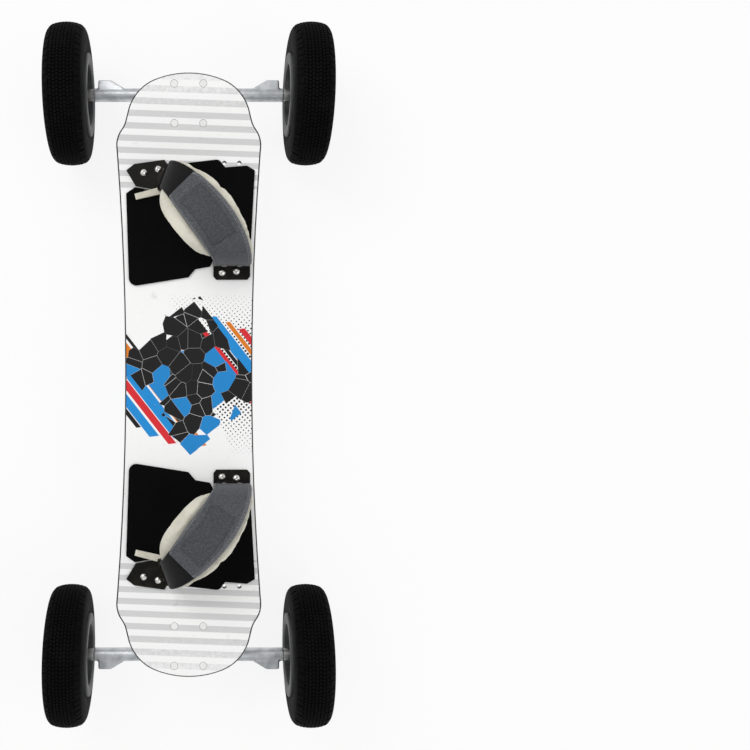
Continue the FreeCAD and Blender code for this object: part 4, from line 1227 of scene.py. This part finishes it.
@dataclass
class Binding:
    """One binding: padded liner, lower and upper strap, patch, seams, brackets and rivets."""

    end: End
    arch: Arch = field(default_factory=Arch)
    upper_stop: float = 8.3 / 12 * math.pi
    lower_start: float = 4 / 12 * math.pi
    pad: Liner = field(default_factory=Liner)
    patch_start: float = 0.29 * math.pi
    patch_stop: float = 0.62 * math.pi
    patch_half: float = 18.5
    patch_shift: float = -3.0
    tape: float = 4.4
    patch_rise: float = 0.7
    patch_sunk: float = 0.35
    stitch_pitch: float = 3.6
    edge_stitch: float = 3.1
    patch_stitch: float = 1.8
    patch_row: float = 0.045
    tail_start: tuple[float, float] = (-39.5, 265.2)
    tail_stop: tuple[float, float] = (-77.0, 256.0)
    tail_half: float = 5.2
    tail_height: float = 1.9

    @property
    def lower_offset(self) -> float:
        """Distance from the inner line to the lower strap."""
        return self.arch.liner + self.arch.gap

    @property
    def upper_offset(self) -> float:
        """Distance from the inner line to the upper strap."""
        return self.lower_offset + self.arch.strap + self.arch.gap

    def piece(self, name: str, points: Array, faces: Array, uv: Array | None = None) -> bpy.types.Object:
        """A mesh of this binding, mirrored at the rear with its faces turned the right way again."""
        made = make_mesh(f"{self.end.word}_{name}", at_end(points, self.end), faces, uv, outward=True)
        made.data.set_sharp_from_angle(angle=math.radians(60))
        return made

    def strap(self, name: str, start: float, stop: float, offset: float) -> bpy.types.Object:
        """One woven strap over the arch."""
        points, faces, uv = Strap(self.arch, start, stop, offset, self.arch.strap).body()
        return self.piece(name, points, faces, uv)

    def bind_edges(self, strap: bpy.types.Object, tape: bpy.types.Material) -> None:
        """Gives the faces along both edges of a strap the tape's finish, by their place on the cloth."""
        mesh = strap.data
        mesh.materials.append(tape)
        place = np.zeros(len(mesh.loops) * 2)
        mesh.uv_layers[0].data.foreach_get("uv", place)
        starts = np.zeros(len(mesh.polygons), dtype=np.int64)
        mesh.polygons.foreach_get("loop_start", starts)
        across, along = place.reshape(-1, 2)[starts].T * 1000.0
        angle = np.linspace(-1, math.pi, 400)
        low, high = self.arch.strap_edges(np.interp(along, self.arch.length_at(angle), angle))
        inside = np.where(across < 0, low + across, high - across)
        mesh.polygons.foreach_set("material_index", (inside < self.tape).astype(np.int64))

    def liner(self) -> bpy.types.Object:
        """The foam liner, from its filled cover, with one more subdivision."""
        made = self.piece("padded_liner", *self.pad.filled())
        smooth = made.modifiers.new("soft cloth", "SUBSURF")
        smooth.levels = smooth.render_levels = 1
        return made

    def patch(self) -> bpy.types.Object:
        """A bare stitched patch that lies on the upper strap, with its edge folded under."""
        angle = np.linspace(self.patch_start, self.patch_stop, 60)
        wide, high = rounded_ring(40, 0.12, 0.4)
        ends = np.minimum(angle - self.patch_start, self.patch_stop - angle) / 0.02
        plump = np.clip(ends, 0.0, 1) ** 0.5
        across = self.patch_shift + self.patch_half * wide[None] * (0.985 + 0.015 * plump[:, None])
        under = self.upper_offset + self.arch.strap - self.patch_sunk
        up = under + (self.patch_rise / 2 + self.patch_sunk) * (1 + high[None] * plump[:, None])
        return self.piece("strap_patch", *self.arch.sleeve(angle, across, up))

    def thread_rows(self) -> tuple[Array, Array, Array]:
        """Middles, runs and outward directions of every stitch on the upper strap."""
        arch, pitch = self.arch, self.stitch_pitch
        dense = np.linspace(-0.4, self.upper_stop - 0.06, 600)
        places, runs, outs = [], [], []

        def row(angle: Array, across: Array, up: float, along_row: bool) -> None:
            wide, out = arch.axes(angle)
            places.append(arch.skin(angle, across, np.full(len(angle), up)))
            runs.append(np.cross(out, wide) if along_row else wide)
            outs.append(out)

        length = arch.length_at(dense)
        angle = np.interp(np.arange(2, length[-1] - 1, pitch), length, dense)
        low, high_side = arch.strap_edges(angle)
        for edge in (self.edge_stitch - low, high_side - self.edge_stitch):
            row(angle, edge, self.upper_offset + arch.strap + 0.05, True)
        patch = angle[(angle > self.patch_start + 0.05) & (angle < self.patch_stop - 0.05)]
        high = self.upper_offset + arch.strap + self.patch_rise + 0.02
        for inset in (self.patch_stitch - self.patch_half, self.patch_half - self.patch_stitch):
            row(patch, np.full(len(patch), self.patch_shift + inset), high, True)
        across = self.patch_shift + np.arange(-self.patch_half + 3.6, self.patch_half - 3.0, pitch)
        for at in (self.patch_start + self.patch_row, self.patch_stop - self.patch_row):
            row(np.full(len(across), at), across, high, False)
        return np.concatenate(places), unit(np.concatenate(runs)), np.concatenate(outs)

    def stitches(self) -> bpy.types.Object:
        """All stitches of the upper strap as one piece."""
        points, faces = Stitches().build(*self.thread_rows())
        return self.piece("strap_stitches", points, faces)

    def tail(self) -> bpy.types.Object:
        """The pale liner's short tail, laid on the pad beside the far bracket."""
        run = np.linspace(0, 1, 24)
        wide, high = rounded_ring(28, 0.4, 0.6)
        start, stop = np.array(self.tail_start), np.array(self.tail_stop)
        middle = start + (stop - start) * run[:, None]
        side = unit(np.array([stop[1] - start[1], start[0] - stop[0]]))
        half = self.tail_half - 0.8 * run
        flat = middle[:, None, :] + side * (half[:, None] * wide[None])[..., None]
        plump = np.minimum(1, (1.02 - run) * 9)[:, None] ** 0.5
        level = self.arch.deck_top + 3.1 + self.tail_height * (1 + high[None] * plump)
        points = np.concatenate([flat, level[..., None]], axis=-1)
        length = float(np.linalg.norm(stop - start))
        uv = np.stack([np.broadcast_to(half[:, None] * wide, level.shape),
                       np.broadcast_to(run[:, None] * length, level.shape)], axis=-1)
        faces = grid_faces(*level.shape, wrap_columns=True)
        return self.piece("liner_tail", *close_ends(points, faces, uv))

    def build(self, kit: "Finishes") -> None:
        """Makes and dresses the binding's pieces."""
        word = self.end.word
        liner = dress(self.liner(), "board", kit.liner, (word + "_strap_liner",))
        dress(self.tail(), "board", kit.liner)
        lower = self.strap("woven_lower_strap", self.lower_start, math.pi + 1, self.lower_offset)
        dress(lower, "board", kit.lower_web, (word + "_lower_strap",))
        upper = self.strap("woven_upper_strap", -1, self.upper_stop, self.upper_offset)
        dress(upper, word + "_strap", kit.upper_web, (word + "_upper_strap",))
        self.bind_edges(upper, kit.edge_tape)
        dress(self.patch(), word + "_strap", kit.patch_web)
        dress(self.stitches(), word + "_strap", kit.thread)
        brackets = word + "_binding_brackets"
        pressed = eased_copy(brackets, brackets + "_pressed", 0.6)
        dress(pressed, "board", kit.powder, (brackets,))
        paint(word + "_upper_strap_rivets", kit.rivet)


# Trucks

@dataclass
class Truck:
    """One cast truck: baseplate and hanger with sandy skins, and the turned steel that holds them."""

    end: End
    grain: float = 1.1
    rounds: int = 5
    plate_grain: float = 0.9
    plate_rounds: int = 3

    def build(self, kit: "Finishes") -> None:
        """Makes and dresses the truck's pieces."""
        word = self.end.word
        hanger = cast_copy(word + "_hanger", word + "_hanger_casting", self.grain, self.rounds)
        dress(hanger, word + "_truck", kit.cast, (word + "_hanger",))
        plate = cast_copy(word + "_baseplate", word + "_baseplate_casting", self.plate_grain, self.plate_rounds)
        dress(plate, "board", kit.cast, (word + "_baseplate",))
        for part in ("axle_nuts", "axle_spacers"):
            node = f"{word}_{part}"
            dress(eased_copy(node, node + "_turned", 0.35), word + "_truck", kit.plated, (node,))
        paint(word + "_axle", kit.ground_steel)
        paint(word + "_bushings", kit.urethane)


# Deck

@dataclass
class Deck:
    """The board itself, its grip pads and the hardware that is fixed to it."""

    edge_round: float = 0.9
    flat: float = 0.92

    def build(self, kit: "Finishes") -> None:
        """Makes and dresses the deck's pieces."""
        board = eased_copy("deck", "printed_deck", self.edge_round, 3, 24.0)
        dress(board, "board", kit.deck_top, ("deck",))
        self.assign_faces(board, kit)
        for end in End:
            pad = end.word + "_foot_pad"
            dress(eased_copy(pad, pad + "_foam", 0.8, 3), "board", kit.grip, (pad,))
        for node, finish, slot in (("binding_bolts", kit.bright, "bolt_steel"),
                                   ("truck_bolts", kit.coated, "bolt_steel"),
                                   ("truck_nuts", kit.plated, "bolt_steel"),
                                   ("kingpins", kit.plated, "kingpin_steel"),
                                   ("kingpin_nuts", kit.plated, "kingpin_steel"),
                                   ("cup_washers", kit.plated, "kingpin_steel"),
                                   ("riser_pads", kit.rubber, "riser")):
            dress(eased_copy(node, node + "_eased", 0.3), "board", finish, (node,))
        paint("pivot_cups", kit.rubber)
        paint("binding_inserts", kit.plated)
        paint("lower_strap_rivets", kit.rivet)

    def assign_faces(self, board: bpy.types.Object, kit: "Finishes") -> None:
        """Gives top, underside and edge their own finish, by which way each face looks."""
        mesh = board.data
        mesh.materials.append(kit.deck_under)
        mesh.materials.append(kit.deck_edge)
        normals = np.zeros(len(mesh.polygons) * 3)
        mesh.polygons.foreach_get("normal", normals)
        up = normals.reshape(-1, 3)[:, 2]
        slots = np.where(up > self.flat, 0, np.where(up < -self.flat, 1, 2))
        mesh.polygons.foreach_set("material_index", slots)


class Finishes:
    """Every finish of the board, made once."""

    def __init__(self) -> None:
        """Makes the finishes."""
        self.deck_top = DeckPrint(Face.TOP).material()
        self.deck_under = DeckPrint(Face.UNDER).material()
        self.deck_edge = DeckEdge().material()
        self.grip = GripFoam().material()
        self.powder = PowderCoat().material()
        self.liner = BrushedCloth().material()
        self.lower_web = Webbing("lower webbing", tint(0.003, 0.003, 0.0034), tint(0.014, 0.014, 0.016),
                                 rib=1.2, depth=0.16, shine=0.12).material()
        self.upper_web = Webbing("upper webbing", tint(0.050, 0.053, 0.060),
                                 tint(0.165, 0.172, 0.188)).material()
        self.patch_web = Webbing("patch cloth", tint(0.040, 0.043, 0.050), tint(0.125, 0.13, 0.145),
                                 rib=0.9, depth=0.12).material()
        self.edge_tape = Webbing("edge tape", tint(0.10, 0.104, 0.113), tint(0.26, 0.268, 0.285),
                                 rib=0.8, depth=0.14).material()
        self.cast = BareMetal("cast aluminium", tint(0.66, 0.68, 0.70), tint(0.42, 0.44, 0.46),
                              0.34, 0.52, sand=0.11).material()
        self.plated = BareMetal("zinc plate", tint(0.68, 0.68, 0.67), tint(0.45, 0.44, 0.42),
                                0.22, 0.4).material()
        self.bright = BareMetal("bright plate", tint(0.86, 0.85, 0.82), tint(0.6, 0.58, 0.54),
                                0.14, 0.3).material()
        self.ground_steel = BareMetal("ground steel", tint(0.62, 0.62, 0.63), tint(0.45, 0.45, 0.45),
                                      0.2, 0.34).material()
        self.rivet = BareMetal("burnished rivet", tint(0.34, 0.33, 0.32), tint(0.2, 0.19, 0.18),
                               0.26, 0.42).material()
        self.thread = Moulded("thread", tint(0.012, 0.012, 0.014), tint(0.05, 0.05, 0.055),
                              0.5, 0.7, skin=0.05, scale=2600.0).material()
        self.coated = Moulded("white coating", tint(0.86, 0.86, 0.85), tint(0.74, 0.74, 0.73),
                              0.3, 0.45, skin=0.02).material()
        self.urethane = Moulded("urethane", tint(0.05, 0.052, 0.06), tint(0.09, 0.09, 0.095),
                                0.3, 0.42).material()
        self.rubber = Moulded("black rubber", tint(0.014, 0.014, 0.015), tint(0.04, 0.04, 0.04),
                              0.55, 0.75).material()
        self.tyre = Moulded("tyre rubber", tint(0.0022, 0.0022, 0.0024), tint(0.0075, 0.0072, 0.0065),
                            0.66, 0.86, skin=0.06, scale=900.0, shine=0.07).material()
        self.tube = Moulded("tube rubber", tint(0.02, 0.02, 0.02), tint(0.04, 0.04, 0.04)).material()
        self.hub = Moulded("grey nylon", tint(0.062, 0.064, 0.067), tint(0.10, 0.10, 0.098),
                           0.42, 0.6, skin=0.03, shine=0.35).material()


# Studio

@dataclass
class Studio:
    """Camera, lamps, floor and world: the plain white table of the photograph."""

    image: float = 750.0
    scale: float = 1.445
    centre_x: float = 188.75
    centre_y: float = 374.7
    distance: float = 1.25
    deck_top: float = 0.1495
    sensor: float = 36.0
    glow: float = 0.86
    sky: float = 0.62
    floor_half: float = 8000.0
    floor_drop: float = 0.5

    def camera(self) -> None:
        """A camera straight over the board's middle, shifted so that the board fills the left of the frame."""
        data = bpy.data.cameras.new("overhead")
        data.sensor_width = self.sensor
        data.lens = self.sensor * self.distance / (self.image * self.scale / 1000.0)
        data.shift_x = (self.image / 2 - self.centre_x) / self.image
        data.shift_y = (self.centre_y - self.image / 2) / self.image
        data.clip_end = 20
        seen = bpy.data.objects.new("overhead", data)
        seen.location = (0, 0, self.deck_top + self.distance)
        bpy.context.scene.collection.objects.link(seen)
        bpy.context.scene.camera = seen

    def lamp(self, name: str, place: tuple[float, float, float], size: float, power: float) -> None:
        """A square soft lamp that looks at the board's middle."""
        data = bpy.data.lights.new(name, "AREA")
        data.size = size
        data.energy = power
        made = bpy.data.objects.new(name, data)
        made.location = place
        away = np.array(place) - np.array([0, 0, 0.1])
        made.rotation_euler = (math.acos(away[2] / np.linalg.norm(away)), 0,
                               math.atan2(away[1], away[0]) + math.pi / 2)
        bpy.context.scene.collection.objects.link(made)

    def floor(self) -> None:
        """A large white floor that keeps a soft shadow of the board."""
        g = Graph("studio floor")
        place = g.place()
        g.set(Base_Color=tint(0.9, 0.9, 0.9), Roughness=g.between(g.noise(place, 3.0), 0.85, 0.95))
        glow = g.node("Emission", {"Color": tint(1, 1, 1), "Strength": 1.0})
        rays = g.node("LightPath").outputs
        bounced = g.math("MAXIMUM", rays["Is Glossy Ray"], rays["Is Transmission Ray"])
        seen = g.times(g.math("MAXIMUM", rays["Is Camera Ray"], bounced), self.glow)
        blend = g.node("MixShader", {0: seen, 1: g.shader.outputs[0], 2: glow.outputs[0]})
        output = next(n for n in g.tree.nodes if n.type == "OUTPUT_MATERIAL")
        g.tree.links.new(blend.outputs[0], output.inputs[0])
        corners = np.array([[-1, -1, 0], [1, -1, 0], [1, 1, 0], [-1, 1, 0]])
        edge = self.floor_half * corners - np.array([0, 0, self.floor_drop])
        ground = make_mesh("studio_floor", edge, np.array([[0, 1, 2, 3]]))
        ground.data.materials.append(g.material)

    def world(self) -> None:
        """An even pale sky, pure white behind the board."""
        sky = bpy.data.worlds.new("studio")
        sky.use_nodes = True
        nodes, links = sky.node_tree.nodes, sky.node_tree.links
        back = nodes["Background"]
        rays = nodes.new("ShaderNodeLightPath")
        level = nodes.new("ShaderNodeMapRange")
        level.inputs["To Min"].default_value = self.sky
        level.inputs["To Max"].default_value = 1.0
        links.new(rays.outputs["Is Camera Ray"], level.inputs["Value"])
        links.new(level.outputs[0], back.inputs["Strength"])
        back.inputs["Color"].default_value = tint(1, 1, 1)
        bpy.context.scene.world = sky

    def build(self) -> None:
        """Sets the whole studio."""
        self.camera()
        self.floor()
        self.world()
        self.lamp("key", (-1.1, 1.3, 2.2), 1.4, 26.0)
        self.lamp("fill", (1.6, -0.9, 2.0), 1.8, 13.0)
        bpy.context.scene.view_settings.view_transform = "Standard"


def main() -> None:
    """Builds the board and its studio."""
    logging.basicConfig(level=logging.INFO, format="%(message)s")
    Studio().build()
    kit = Finishes()
    liner = Liner()
    for end in End:
        Binding(end, pad=liner).build(kit)
    Deck().build(kit)
    for end in End:
        Truck(end).build(kit)
        for hand in Hand:
            Wheel(end, hand).build(kit)


if __name__ == "__main__":
    main()
